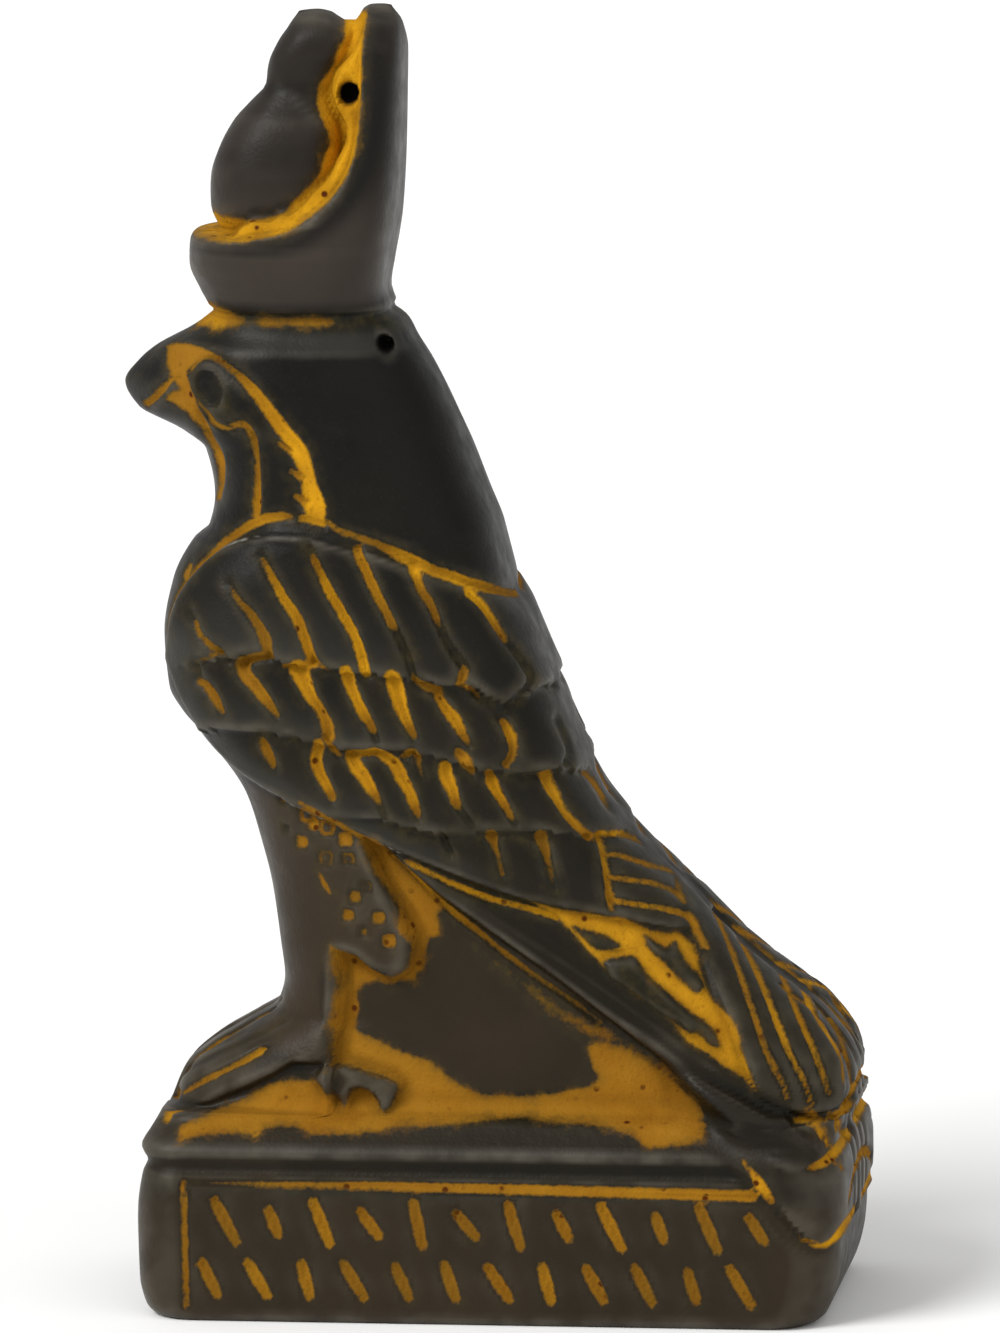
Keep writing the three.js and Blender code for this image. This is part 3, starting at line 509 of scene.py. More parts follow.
BUNDLE = [
    (4.81, 7.05), (5.38, 6.79), (6.02, 6.35), (6.72, 5.65), (7.26, 5.03), (7.61, 4.51), (7.95, 4.06),
    (8.28, 3.59), (8.59, 3.02), (8.89, 2.47), (9.15, 2), (9.27, 1.39), (9.24, 0.95), (9.09, 0.63),
    (8.75, 0.44), (8.3, 0.38), (7.78, 0.45), (7.29, 0.63), (7.01, 0.91), (6.8, 1.54), (6.55, 2.28),
    (6.17, 3.12), (5.82, 4.06), (5.51, 4.77), (5.15, 5.55), (4.8, 6.31)
]
TAIL_BAND = [
    (-2.9, 7.2), (-1.1, 5.9), (2, 3.7), (4.56, 1.76), (6.4, 0.2), (7.4, -0.84), (8.2, -1.04), (8.98, -0.5),
    (9.04, 0.28), (8.2, 0.1), (7.16, 0.74), (6.12, 1.52), (4.06, 3.08), (2, 4.5), (-0.1, 5.8), (-1.6, 6.7)
]
WEB = [
    (-4.25, -0.02), (-4.2, 1.8), (-4.1, 3.1), (-4.05, 4.4), (-3.5, 4.3), (-3.1, 3.97), (-2.5, 3.72),
    (-2.1, 3.95), (-1.98, 4.8), (-2.3, 5.4), (-2.75, 6.25), (-3.1, 7), (-3.2, 7.45), (-2.6, 7.2),
    (-1.1, 5.9), (2, 3.7), (4.56, 1.76), (6.4, 0.2), (6.5, -0.02)
]
TOE_HOLLOW = [
    (-4.3, 1.5), (-5.2, 1.45), (-5.7, 1.15), (-6.4, 0.8), (-7.15, 0.45), (-8.1, -0.05), (-8.1, -0.3),
    (-4.2, -0.3)
]
REAR_CLAW = [
    (-4.57, 1), (-4.12, 1.38), (-3.5, 1.3), (-2.55, 1), (-2.42, 0.68), (-2.72, 0.2), (-2.98, 0.5),
    (-3.3, 0.72), (-3.6, 0.7), (-3.86, 0.2), (-3.97, 0.55)
]
TAIL_DRAPE = [
    (6.5, -0.8), (7, -1.3), (7.96, -2.32), (8.5, -2.9), (8.9, -3), (12, -2.2), (12, 0.4), (8, 0.4)
]
TAIL_NOSE = [
    (4.02, 2.24), (5.06, 1.68), (6.1, 1.08), (7.21, 0.49), (7.65, 0.39), (7.86, 0.16), (8.09, -0.1),
    (8.4, -0.41), (8.61, -0.65), (8.55, -0.86), (8.34, -0.97), (7.82, -0.93), (7.3, -0.8), (6.86, -0.57),
    (6.52, -0.31), (6.08, 0.03), (5.65, 0.42), (5.31, 0.76), (4.79, 1.25)
]
PLATE_RISE = 1.1
BUNDLE_RISE = 1.35
BAND_RISE = 1.0
CLAW_RISE = 1.9
WEB_DEPTH = 3.2
TOE_HOLLOW_DEPTH = 1.7
CREST_GROOVE = 0.9
BEVEL_DEPTH = 0.95

OPENING_TOP = 6.3
OPENING_HEIGHT = 6
OPENING_SHARE = 0.86
opening_half = OPENING_SHARE * HALF * (OPENING_TOP * SQUARE - z) / (OPENING_HEIGHT * SQUARE)
tail_opening = ease((opening_half - x) / 0.8 + 0.5) * (y > 3 * SQUARE)
tail_opening = tail_opening * (0.2 + 0.8 * ease((5.4 * SQUARE - z) / (2.4 * SQUARE)))
soft_shoulder = 0.9 + 5 * ease((seen_y / SQUARE + 0.3) / 2) * (seen_z > 10 * SQUARE)
wing_inside = rounded_area(WING, seen_y, seen_z)
wing = PLATE_RISE * ease(wing_inside / soft_shoulder + 0.5) * (1 - tail_opening)
bundle_inside = rounded_area(BUNDLE, seen_y, seen_z)
bundle = BUNDLE_RISE * ease(bundle_inside + 0.5) * ease(in_sight * 1.5)
band = BAND_RISE * plate(TAIL_BAND, 2.2)
NOSE_RISE_ABOVE = 0.8
NOSE_RISE_BELOW = 2.7
NOSE_LIMIT = 4
nose_face = NOSE_RISE_ABOVE + (NOSE_RISE_BELOW - NOSE_RISE_ABOVE) * ease((1.7 * SQUARE - z) / (1.1 * SQUARE))
nose = np.clip(HALF + nose_face - x, 0, NOSE_LIMIT) * plate(TAIL_NOSE, 1.8, seen=True) * ease(2 * in_sight)
nose = nose * ease((2 * SQUARE - z) / SQUARE)
# Painted shade: the tail's nose is coloured darker, where its gloss looks dark.
nose_shade = ease(rounded_area(TAIL_NOSE, seen_y, seen_z) / 1.5 + 0.5) * ease(2 * in_sight)
drape = DRAPE * plate(TAIL_DRAPE) * (z < 0.3 * SQUARE)
web = -WEB_DEPTH * ease(area_distance(np.array(WEB), y, z) / 1.4 + 0.35)
toe_hollow = -TOE_HOLLOW_DEPTH * ease(area_distance(np.array(TOE_HOLLOW), y, z) / 1.1 + 0.4)
claw_inside = rounded_area(REAR_CLAW, y, z, 3)
claw = CLAW_RISE * ease(claw_inside / 1.3 + 0.45)
above_floor = ease((z + 1.6) / 4.6)
depth += np.maximum.reduce([wing, bundle, band, drape, nose]) + claw * on_side
depth += np.minimum(web, toe_hollow) * on_side * above_floor
groove = np.exp(-(((z + 5.7) / 1.15) ** 2)) * (z < 0) * ease((7.3 * SQUARE - y) / 5)
depth -= CREST_GROOVE * groove * (0.45 + 0.55 * ease((x - 0.6 * HALF) / 5))
bevel = ease((z - 19.85 * SQUARE) / 2.6) * (1 - ease((z - 20.8 * SQUARE) / 1.2))
depth -= BEVEL_DEPTH * bevel * (1 - ease((y / SQUARE + 2.7) / 0.5))
head_band = ease((z - 19.8 * SQUARE) / 1.2) * (1 - ease((z - 20.3 * SQUARE) / 1.5)) * (x > 5)
print(f"wing lifts {wing.max():.1f} mm, web sinks {-web.min():.1f} mm")

# %% [markdown]
# ## Feathers
# The feathers lie in rows like roof shingles: each row rises towards its lower edge and then steps
# back under the next one. Slanting chisel cuts part the feathers of a row. Rules for even spacing
# would look too tidy for hand work, so each cut has its own course and width.

# %% Shingled rows
ROW_EDGES = [
    [(-8.7, 15.08), (-7.6, 15.08), (-5.1, 15.48), (-2.1, 14.88), (1.1, 13.78), (3.9, 12.78)],
    [(-8.7, 11.68), (-7.4, 12.03), (-6.6, 12.18), (-5.5, 12.28), (-5, 12.03), (-4, 11.93), (-3, 11.83),
     (-2.2, 11.73), (-1.2, 11.58), (-0.3, 11.48), (0.5, 11.08), (1.2, 11.38), (2.1, 11.68), (3.9, 11.88)],
    [(-8.7, 9.48), (-6.7, 10.33), (-5.6, 10.23), (-5, 10.18), (-4.3, 9.98), (-3.3, 9.83), (-2.6, 9.78),
     (-1.8, 9.78), (-0.9, 9.58), (0.1, 9.33), (1.1, 9.23), (1.9, 9.33), (2.7, 9.33), (4.3, 9.58)],
    [(-8.7, 7.88), (-4.1, 8.08), (-2.6, 7.98), (-2, 7.83), (-0.95, 7.63), (0.23, 7.68), (0.9, 7.73),
     (1.5, 7.73), (2.7, 7.63), (4.3, 7.78)],
    [(-8.7, 5.38), (-3.1, 6.28), (1.1, 5.48), (3.3, 5.38), (5.5, 4.88)],
]
ROW_LIFTS = (1.0, 0.85, 0.8, 0.5)
edge_heights = [through(seen_y / SQUARE, *np.array(edge).T) * SQUARE for edge in ROW_EDGES]
on_rows = ease((towards_eye - 0.05) / 0.4) * ease(wing_inside / 1.2 + 0.3)
on_rows = on_rows * ease((4.6 * SQUARE - seen_y) / 4) * ease(seen_y / SQUARE + 8)
# Painted highlight: the lower end of each row of feathers is coloured lighter, where the light catches it.
painted_highlight = np.zeros(x.shape)
for top, bottom, lift in zip(edge_heights[:-1], edge_heights[1:], ROW_LIFTS):
    down = np.clip((top - seen_z) / (top - bottom), 0, 1)
    within_row = (seen_z > bottom) & (seen_z <= top)
    depth += np.where(within_row, lift * (down**1.6 - 0.35), 0) * on_rows
    painted_highlight = np.maximum(painted_highlight, np.where(within_row, down**2.6, 0) * on_rows)
ROW_HIGHLIGHT = 0.75
EDGE_HIGHLIGHT = 0.65
FRONT_HIGHLIGHT = 0.6
painted_highlight = ROW_HIGHLIGHT * painted_highlight * (1 - 0.8 * ease((seen_y / SQUARE + 5) / 5))
# The wing's low edge and its front edge are also coloured lighter, as painted highlights.
low_edge = ease((3.6 - wing_inside) / 2.5) * (wing_inside > 0) * ease((12 * SQUARE - seen_z) / 8)
painted_highlight = np.maximum(painted_highlight, EDGE_HIGHLIGHT * low_edge * ease((1.5 * SQUARE - seen_y) / (4 * SQUARE)) * in_sight)
front_edge = ease((-6.9 * SQUARE - seen_y) / 3) * (wing_inside > 0) * ease((13.6 * SQUARE - seen_z) / 6)
painted_highlight = np.maximum(painted_highlight, FRONT_HIGHLIGHT * front_edge)
# Painted highlight: a thin pale line along the wing plate's edge, where it faces the eye.
rim_below = ease((-1.6 * SQUARE - seen_y) / 4) * (seen_z < 10 * SQUARE)
rim_kept = np.maximum(rim_below, ease((-4.6 * SQUARE - seen_y) / 8))
rim_highlight = -np.abs(wing_inside + 0.05) - 0.3 * (1 - rim_kept * (in_sight > 0.05))

# %% Cuts between the feathers: place in squares, width in millimetres, pigment left
FEATHER_CUTS = [
    [(-7.43, 13.43, 0.4, 0.1), (-7.3, 13.15, 0.5, 0.5), (-7.18, 12.83, 0.6, 0.6), (-6.92, 12.53, 1, 0.55),
     (-6.7, 12.36, 1.1, 0.5), (-6.5, 12.15, 0.8, 0.3)],
    [(-6.7, 12.36, 0.9, 0.5), (-7, 12.2, 1, 0.45), (-7.32, 12.08, 1, 0.4), (-7.3, 11.73, 0.8, 0.3)],
    [(-6.48, 14.18, 0.4, 0.4), (-6.24, 13.73, 0.6, 0.6), (-5.98, 13.43, 1.1, 0.6),
     (-5.73, 13.06, 1.3, 0.62), (-5.55, 12.7, 1.6, 0.58), (-5.5, 12.34, 1.3, 0.6)],
    [(-5.45, 12.28, 1.1, 0.6), (-5.85, 12.23, 1.3, 0.6), (-6.25, 12.03, 1.4, 0.65)],
    [(-5.68, 14.93, 0.4, 0.2), (-5.55, 14.68, 0.7, 0.8), (-5.3, 14.18, 1.1, 0.9), (-5.05, 13.73, 1.3, 0.9),
     (-4.75, 13.28, 1.4, 0.9), (-4.55, 12.78, 1.4, 0.9), (-4.35, 12.18, 1.4, 0.9)],
    [(-4.35, 12.18, 0.8, 0.8), (-3.98, 11.93, 0.5, 0.5)],
    [(-4.43, 15.13, 0.7, 0.2), (-4.25, 14.73, 0.9, 0.7), (-4.05, 14.28, 1.2, 0.95),
     (-3.82, 13.83, 1.4, 0.95), (-3.55, 13.38, 1.4, 0.95), (-3.3, 12.93, 1.4, 0.95),
     (-3.1, 12.43, 1.5, 0.95), (-2.97, 11.88, 1.6, 0.95)],
    [(-3.18, 15.06, 1.2, 0.8), (-2.95, 14.53, 1.4, 0.9), (-2.75, 14.08, 1.4, 0.85),
     (-2.52, 13.63, 1.3, 0.8), (-2.3, 13.18, 1.2, 0.7), (-2.12, 12.83, 1.1, 0.25), (-1.92, 12.38, 1.2, 0.2),
     (-1.8, 12.03, 1.2, 0.3), (-1.72, 11.68, 1.2, 0.45)],
    [(-1.7, 11.68, 1, 0.55), (-1.4, 11.5, 1.2, 0.65), (-1.1, 11.4, 1.2, 0.7)],
    [(-1.7, 14.56, 1.7, 0.95), (-1.52, 14.03, 1.2, 0.8), (-1.3, 13.68, 1.1, 0.6), (-1.08, 13.13, 1, 0.45),
     (-0.88, 12.68, 0.9, 0.15), (-0.6, 12.23, 1.3, 0.2), (-0.45, 11.98, 1.5, 0.45),
     (-0.52, 11.7, 1.2, 0.75)],
    [(-0.6, 11.61, 0.8, 0.8), (-0.32, 11.46, 0.7, 0.7), (-0.05, 11.23, 0.6, 0.5)],
    [(-0.3, 13.95, 1.6, 1), (0, 13.63, 1.1, 0.95), (0.28, 13.18, 1, 0.85), (0.53, 12.73, 0.8, 0.6),
     (0.75, 12.43, 0.9, 0.1), (0.98, 12.08, 1.1, 0.1), (1.12, 11.76, 1.3, 0.1), (1.05, 11.53, 1.2, 0.1),
     (0.87, 11.33, 1.2, 0.1), (0.63, 11.08, 1.4, 0.15)],
    [(1.35, 11.48, 0.9, 0.1), (1.7, 11.53, 1, 0.1), (2.05, 11.76, 1, 0.15)],
    [(-7.35, 11.63, 0.7, 0.5), (-7.12, 11.48, 1.1, 0.75), (-6.9, 11.2, 1.2, 0.7), (-6.65, 10.78, 0.7, 0.5)],
    [(-6.15, 12.08, 1.9, 0.65), (-6.13, 11.81, 1.9, 0.75), (-5.9, 11.53, 1.8, 0.75),
     (-5.6, 11.15, 1.5, 0.8), (-5.28, 10.71, 0.7, 0.6)],
    [(-4.72, 11.93, 2.9, 0.9), (-4.6, 11.58, 2.4, 0.9), (-4.4, 11.18, 1.8, 0.9), (-4.17, 10.85, 1.4, 0.85),
     (-4, 10.48, 1.7, 0.8), (-3.95, 10.18, 1.7, 0.8)],
    [(-5.1, 12.02, 0.5, 0.7), (-4.7, 11.98, 1, 0.8), (-4.3, 12.08, 1.2, 0.9)],
    [(-3.48, 11.88, 2, 0.9), (-3.38, 11.48, 1.7, 0.9), (-3.2, 11.08, 1.4, 0.95), (-3.02, 10.73, 1.5, 0.9),
     (-2.82, 10.38, 1.1, 0.6), (-2.72, 10.08, 0.8, 0.2)],
    [(-2.28, 11.73, 2.4, 0.95), (-2.18, 11.38, 2.4, 0.95), (-2.05, 10.91, 1.9, 0.95),
     (-1.9, 10.53, 1.5, 0.85), (-1.73, 10.18, 0.9, 0.5)],
    [(-1.13, 11.28, 1.1, 0.8), (-0.95, 10.98, 1.5, 0.9), (-0.68, 10.63, 1.7, 0.9), (-0.48, 10.25, 1.1, 0.8),
     (-0.32, 9.98, 0.8, 0.4)],
    [(0.4, 10.75, 0.8, 0.2), (0.58, 10.5, 1.1, 0.8), (0.7, 10.21, 1.4, 0.9), (0.75, 9.91, 1, 0.75),
     (0.68, 9.66, 1, 0.55), (0.58, 9.5, 1.3, 0.5)],
    [(1.8, 10.68, 0.8, 0.05), (1.95, 10.28, 0.9, 0.05), (2.08, 9.83, 0.9, 0.1), (2, 9.53, 1, 0.15)],
    [(-5.68, 10.03, 1, 0.7), (-5.55, 9.75, 1.3, 0.75), (-5.38, 9.38, 0.8, 0.5)],
    [(-4.07, 10.13, 1, 0.8), (-3.85, 9.83, 0.9, 0.7), (-3.7, 9.68, 0.6, 0.5)],
    [(-4.22, 9.98, 1.6, 0.85), (-4.3, 9.56, 1.7, 0.9), (-4.2, 9.18, 1.6, 0.9), (-4.03, 8.88, 1.4, 0.9),
     (-3.88, 8.58, 1.1, 0.7)],
    [(-3.42, 9.66, 1.6, 0.85), (-3.27, 9.38, 2.1, 0.9), (-3.05, 9.11, 1.9, 0.9), (-2.87, 8.78, 1.5, 0.9),
     (-2.68, 8.48, 0.8, 0.6), (-2.53, 8.1, 0.6, 0.1)],
    [(-3.45, 9.71, 1.1, 0.85), (-3, 9.75, 1.2, 0.9), (-2.72, 9.78, 1.4, 0.9), (-2.48, 9.63, 1.5, 0.9),
     (-2.24, 9.43, 1.8, 0.9), (-2.07, 9.08, 1.9, 0.9), (-1.9, 8.75, 1.5, 0.9), (-1.75, 8.41, 1.4, 0.85),
     (-1.65, 8.11, 0.8, 0.5)],
    [(-2.03, 9.68, 0.8, 0.8), (-1.8, 9.8, 1, 0.8), (-1.65, 9.68, 0.9, 0.7), (-1.63, 9.43, 0.6, 0.5),
     (-1.55, 9.13, 0.4, 0.4)],
    [(-0.95, 9.38, 1.9, 0.9), (-0.92, 9.13, 2.1, 0.9), (-0.77, 8.81, 1.7, 0.9), (-0.67, 8.48, 1.3, 0.75),
     (-0.52, 8.21, 0.8, 0.3), (-0.27, 7.91, 0.8, 0.15)],
    [(-0.6, 9.81, 1.2, 0.7), (-0.43, 9.58, 1.9, 0.8), (-0.25, 9.25, 0.9, 0.5)],
    [(0.17, 9.26, 1.2, 0.7), (0.27, 8.96, 1.7, 1), (0.45, 8.63, 1.3, 0.95), (0.63, 8.3, 1, 0.7),
     (0.83, 7.95, 0.7, 0.35)],
    [(1.58, 9.2, 1.7, 0.8), (1.67, 8.93, 1.7, 0.85), (1.85, 8.58, 1.3, 0.9), (2.03, 8.21, 1, 0.85),
     (2.23, 7.98, 1.2, 0.85), (2.47, 7.73, 1, 0.8), (2.68, 7.6, 1.3, 0.75)],
    [(2.5, 9.28, 0.6, 0.6), (2.67, 9.08, 0.5, 0.7), (2.86, 8.78, 0.4, 0.7), (3, 8.5, 0.4, 0.5),
     (3.18, 8.2, 0.4, 0.4)],
    [(-1.05, 7.58, 0.8, 0.2), (-0.95, 7.38, 0.9, 0.2), (-0.83, 7.08, 0.8, 0.1)],
    [(0.23, 7.63, 1.7, 0.6), (0.3, 7.38, 1.1, 0.6), (0.4, 7.05, 0.6, 0.5), (0.5, 6.58, 0.8, 0.5)],
    [(1.47, 7.63, 1.9, 0.5), (1.58, 7.31, 1.4, 0.55), (1.68, 6.93, 0.9, 0.5), (1.78, 6.5, 0.8, 0.45),
     (1.85, 6.18, 0.5, 0.3)],
]
engrave_all(FEATHER_CUTS, 0.95)
print(len(FEATHER_CUTS), "cuts on the wing")

# %% Seams between the rows, bars, long feathers and the fine line under the wing
SEAMS = [
    [(-5.7, 10.28, 0.7, 0.2), (-5.2, 10.23, 0.9, 0.3), (-4.7, 10.08, 1, 0.35)],
    [(-2.9, 11.73, 0.8, 0.1), (-2.5, 11.73, 0.8, 0.2)],
    [(-0.3, 11.48, 0.8, 0.2), (0.2, 11.08, 0.9, 0.15)],
    [(0.55, 9.28, 0.8, 0.3), (0.95, 9.21, 1.5, 0.3), (1.4, 9.23, 1.2, 0.35)],
    [(1.9, 9.43, 0.8, 0.3), (2.4, 9.33, 0.9, 0.35)],
    [(-2.5, 7.98, 0.7, 0.05), (-1.8, 7.63, 0.8, 0.1), (-1.05, 7.6, 0.9, 0.3), (-0.4, 7.68, 0.8, 0.15),
     (0.2, 7.66, 0.9, 0.4), (0.8, 7.73, 0.8, 0.25), (1.3, 7.58, 1, 0.35)],
]
engrave_all(SEAMS, 0.5)
TAIL_CUTS = [
    [(2.89, 7.68, 0.8, 0.85), (2.99, 7.37, 0.8, 0.85), (3.09, 6.84, 0.8, 0.85), (3.16, 6.45, 0.9, 0.85),
     (3.23, 5.98, 0.9, 0.8), (3.26, 5.71, 0.5, 0.65)],
    [(2.84, 7.68, 1, 0.85), (3.05, 7.68, 0.9, 0.97), (3.36, 7.69, 0.9, 0.95), (3.62, 7.61, 0.7, 0.75),
     (3.95, 7.46, 0.5, 0.5), (4.6, 7.17, 0.4, 0.45), (4.91, 6.97, 0.4, 0.45)],
    [(3.14, 7.13, 0.5, 0.55), (3.35, 7.13, 0.5, 0.75), (3.87, 6.96, 0.5, 0.75), (4.21, 6.85, 0.5, 0.65),
     (4.8, 6.7, 0.4, 0.55)],
    [(3.27, 6.53, 0.5, 0.75), (3.86, 6.46, 0.5, 0.8), (4.2, 6.41, 0.5, 0.7), (4.46, 6.33, 0.5, 0.55),
     (4.88, 6.15, 0.8, 0.6), (5, 6, 0.7, 0.55), (5.05, 5.87, 0.4, 0.45)],
    [(3.31, 5.95, 0.7, 0.8), (3.86, 5.85, 0.7, 0.9), (4.45, 5.75, 0.7, 0.85), (4.97, 5.63, 0.8, 0.8),
     (5.21, 5.5, 0.9, 0.8), (5.36, 5.29, 0.8, 0.8), (5.54, 4.9, 0.5, 0.65), (5.64, 4.72, 0.4, 0.65)],
    [(4.85, 6.52, 0.4, 0.45), (4.9, 6.34, 0.7, 0.5), (4.95, 6.15, 0.5, 0.5)],
    [(4.99, 6.94, 0.3, 0.45), (5.37, 6.37, 0.4, 0.55), (5.86, 5.51, 0.4, 0.65), (6.31, 4.46, 0.5, 0.7),
     (6.64, 3.65, 0.5, 0.75), (6.95, 2.89, 0.5, 0.75), (7.23, 2.13, 0.7, 0.75), (7.53, 1.5, 0.7, 0.7),
     (7.71, 1.16, 0.5, 0.65), (7.81, 0.79, 0.4, 0.55)],
    [(5.38, 6.66, 0.4, 0.55), (5.76, 6.11, 0.5, 0.6), (6.14, 5.54, 0.5, 0.65), (6.47, 4.91, 0.5, 0.75),
     (6.81, 4.26, 0.7, 0.8), (7.37, 3.08, 0.8, 0.9), (7.67, 2.37, 0.8, 0.9), (7.95, 1.77, 0.7, 0.85),
     (8.21, 1.25, 0.7, 0.8), (8.41, 0.62, 0.5, 0.7)],
    [(6.02, 6.22, 0.4, 0.55), (6.35, 5.75, 0.4, 0.6), (6.66, 5.31, 0.5, 0.65), (7.1, 4.71, 0.5, 0.7),
     (7.48, 4.08, 0.5, 0.75), (7.79, 3.43, 0.7, 0.8), (8.12, 2.7, 0.7, 0.85), (8.4, 2.09, 0.7, 0.85),
     (8.63, 1.52, 0.7, 0.8), (8.8, 0.97, 0.5, 0.7)],
    [(7.25, 4.92, 0.4, 0.55), (7.56, 4.4, 0.5, 0.65), (7.82, 4.01, 0.5, 0.75), (8.07, 3.67, 0.7, 0.85),
     (8.23, 3.36, 0.9, 0.95), (8.41, 3.04, 0.8, 0.9), (8.58, 2.73, 0.7, 0.85), (8.82, 2.42, 0.9, 0.95),
     (8.99, 2.1, 0.7, 0.85), (9.12, 1.79, 0.5, 0.65), (9.17, 1.26, 0.5, 0.6)],
    [(8.04, 0.21, 0.7, 0.85), (8.3, 0.19, 1, 0.97), (8.48, 0.12, 0.9, 0.95), (8.56, -0.07, 0.5, 0.85),
     (8.69, -0.28, 0.5, 0.9), (8.84, -0.49, 0.5, 0.85)],
    [(8.9, 0.41, 0.5, 0.85), (9.06, 0.18, 0.7, 0.9), (9.16, -0.09, 0.7, 0.75)],
    [(7.31, 4.79, 0.4, 0.45), (7.69, 4.27, 0.4, 0.45), (8.2, 3.75, 0.4, 0.5), (8.72, 3.23, 0.4, 0.55),
     (9.1, 2.71, 0.4, 0.55), (9.36, 2.19, 0.4, 0.55), (9.53, 1.53, 0.4, 0.5), (9.61, 0.87, 0.4, 0.45)],
    [(7.95, 4.27, 0.4, 0.45), (8.6, 3.89, 0.4, 0.45), (9.37, 3.24, 0.4, 0.5), (9.57, 2.58, 0.4, 0.5),
     (9.75, 1.8, 0.4, 0.45)],
    [(-2.03, 6.89, 0.4, 0.75), (-1.72, 6.76, 0.5, 0.85), (-1.3, 6.55, 0.5, 0.85), (-0.89, 6.35, 0.7, 0.9),
     (-0.47, 6.17, 0.7, 0.95), (-0.06, 6.01, 0.8, 0.95), (0.36, 5.86, 0.8, 0.95), (0.78, 5.76, 0.8, 0.95),
     (1.19, 5.66, 0.9, 0.95), (1.58, 5.56, 1, 0.97), (1.87, 5.46, 1, 0.97)],
]
WEB_LINE = [
    (-2.57, 6.98, 0.9, 0.9), (-2.2, 6.65, 0.9, 0.9), (-1.7, 6.12, 0.9, 0.9), (-1.32, 5.75, 0.9, 0.85),
    (-0.97, 5.45, 0.9, 0.85), (-0.6, 5.15, 0.9, 0.8), (-0.22, 4.87, 0.8, 0.75), (0.43, 4.33, 0.7, 0.6),
    (1.41, 3.62, 0.8, 0.5), (2.32, 3, 1.2, 0.4), (3, 2.45, 1.4, 0.35)
]
engrave_all(TAIL_CUTS, 0.85)
engrave(WEB_LINE, 0.8)
print(len(TAIL_CUTS), "cuts on the tail")

# %% [markdown]
# ## Face
# A dark teardrop runs from the eye down the cheek, framed by a broad ochre line behind and a fine
# one in front. The beak is hooked and has a mouth line. The eye is a sunk upright oval, with a fine
# curved cut behind it.

# %% Face lines
FACE_CUTS = [
    [(-7.46, 19.7, 0.6, 0.5), (-7.2, 19.99, 0.6, 0.55), (-6.88, 20.01, 0.7, 0.6), (-6.63, 19.88, 0.7, 0.65),
     (-6.34, 19.65, 1, 0.7), (-6.09, 19.45, 1.2, 0.8), (-5.7, 19.03, 1.6, 0.85), (-5.34, 18.54, 1.9, 0.9),
     (-4.94, 17.99, 2.2, 0.95), (-4.66, 17.58, 2.6, 0.95), (-4.48, 17.11, 2.2, 0.9),
     (-4.41, 16.8, 2.2, 0.9), (-4.34, 16.46, 2.8, 0.95), (-4.26, 16.13, 3.2, 0.95),
     (-4.22, 15.98, 2.8, 0.9)],
    [(-4.62, 15.83, 1.1, 0.85), (-4.22, 15.76, 1.2, 0.9), (-4.02, 15.7, 1, 0.9)],
    [(-5.2, 17.8, 0.4, 0.5), (-4.92, 17.62, 1.1, 0.8)],
    [(-4.86, 17.06, 0.6, 0.6), (-4.62, 16.92, 1.4, 0.85)],
    [(-4.78, 16.42, 0.7, 0.6), (-4.52, 16.28, 1.6, 0.85)],
    [(-7.32, 18.97, 0.5, 0.4), (-7.22, 18.79, 0.5, 0.45), (-7.04, 18.58, 0.7, 0.5),
     (-6.91, 18.37, 0.7, 0.55), (-6.71, 18.22, 0.7, 0.6), (-6.5, 18.19, 0.7, 0.6), (-6.18, 18.3, 0.9, 0.7),
     (-6, 18.2, 1, 0.75), (-5.88, 17.99, 1, 0.7), (-5.8, 17.7, 0.9, 0.7), (-5.76, 17.36, 0.7, 0.7),
     (-5.77, 16.58, 1, 0.8), (-5.8, 16.19, 1.3, 0.85), (-5.83, 15.95, 1, 0.8)],
    [(-8.61, 18.83, 1, 0.75), (-8.39, 19.01, 1, 0.75), (-8.18, 19.22, 0.9, 0.75), (-7.99, 19.43, 0.7, 0.75),
     (-7.83, 19.51, 0.5, 0.7)],
    [(-7.35, 18.6, 1, 0.75), (-7.15, 18.27, 1, 0.75), (-7, 17.95, 1, 0.75), (-6.75, 17.41, 1.2, 0.8),
     (-6.71, 16.83, 0.8, 0.7), (-6.76, 16.57, 0.7, 0.7), (-6.79, 16.36, 0.4, 0.6)],
    [(-8.95, 19.79, 0.4, 0.4), (-8.77, 20, 0.5, 0.5), (-8.55, 20.21, 0.5, 0.5), (-8.29, 20.4, 0.5, 0.45)],
    [(-8.17, 12.59, 0.3, 0.5), (-8.09, 13.15, 0.5, 0.6), (-8, 13.5, 0.7, 0.6), (-7.77, 13.96, 0.8, 0.6),
     (-7.44, 14.41, 0.9, 0.65), (-7.07, 14.82, 0.9, 0.65), (-6.69, 15.17, 1, 0.7), (-6.32, 15.44, 1.1, 0.8),
     (-5.93, 15.68, 1.3, 0.85), (-5.52, 15.84, 1.4, 0.85), (-5.12, 15.89, 1.2, 0.8),
     (-4.9, 15.87, 0.7, 0.6)],
    [(-3.92, 15.73, 0.6, 0.8), (-3.62, 15.52, 0.8, 0.7), (-3.22, 15.38, 0.8, 0.6), (-2.92, 15.28, 0.9, 0.6),
     (-2.62, 15.17, 1, 0.65), (-2.32, 15.02, 1.3, 0.85), (-2.03, 14.88, 1.6, 0.9), (-1.73, 14.75, 1.7, 0.9),
     (-1.48, 14.64, 1.6, 0.9), (-1.18, 14.5, 1.5, 0.85), (-0.83, 14.39, 1.6, 0.9),
     (-0.53, 14.28, 1.7, 0.95), (-0.23, 14.18, 1.6, 0.9), (0.07, 14.11, 1.5, 0.85), (0.37, 14.03, 1.4, 0.8),
     (0.66, 13.96, 1.2, 0.75), (1.01, 13.94, 0.9, 0.7), (1.22, 14.02, 0.6, 0.5)],
    [(-7.56, 14.63, 0.4, 0.5), (-7.67, 14.37, 0.5, 0.6), (-7.75, 14.08, 0.3, 0.4)],
]
engrave_all(FACE_CUTS, 0.7)
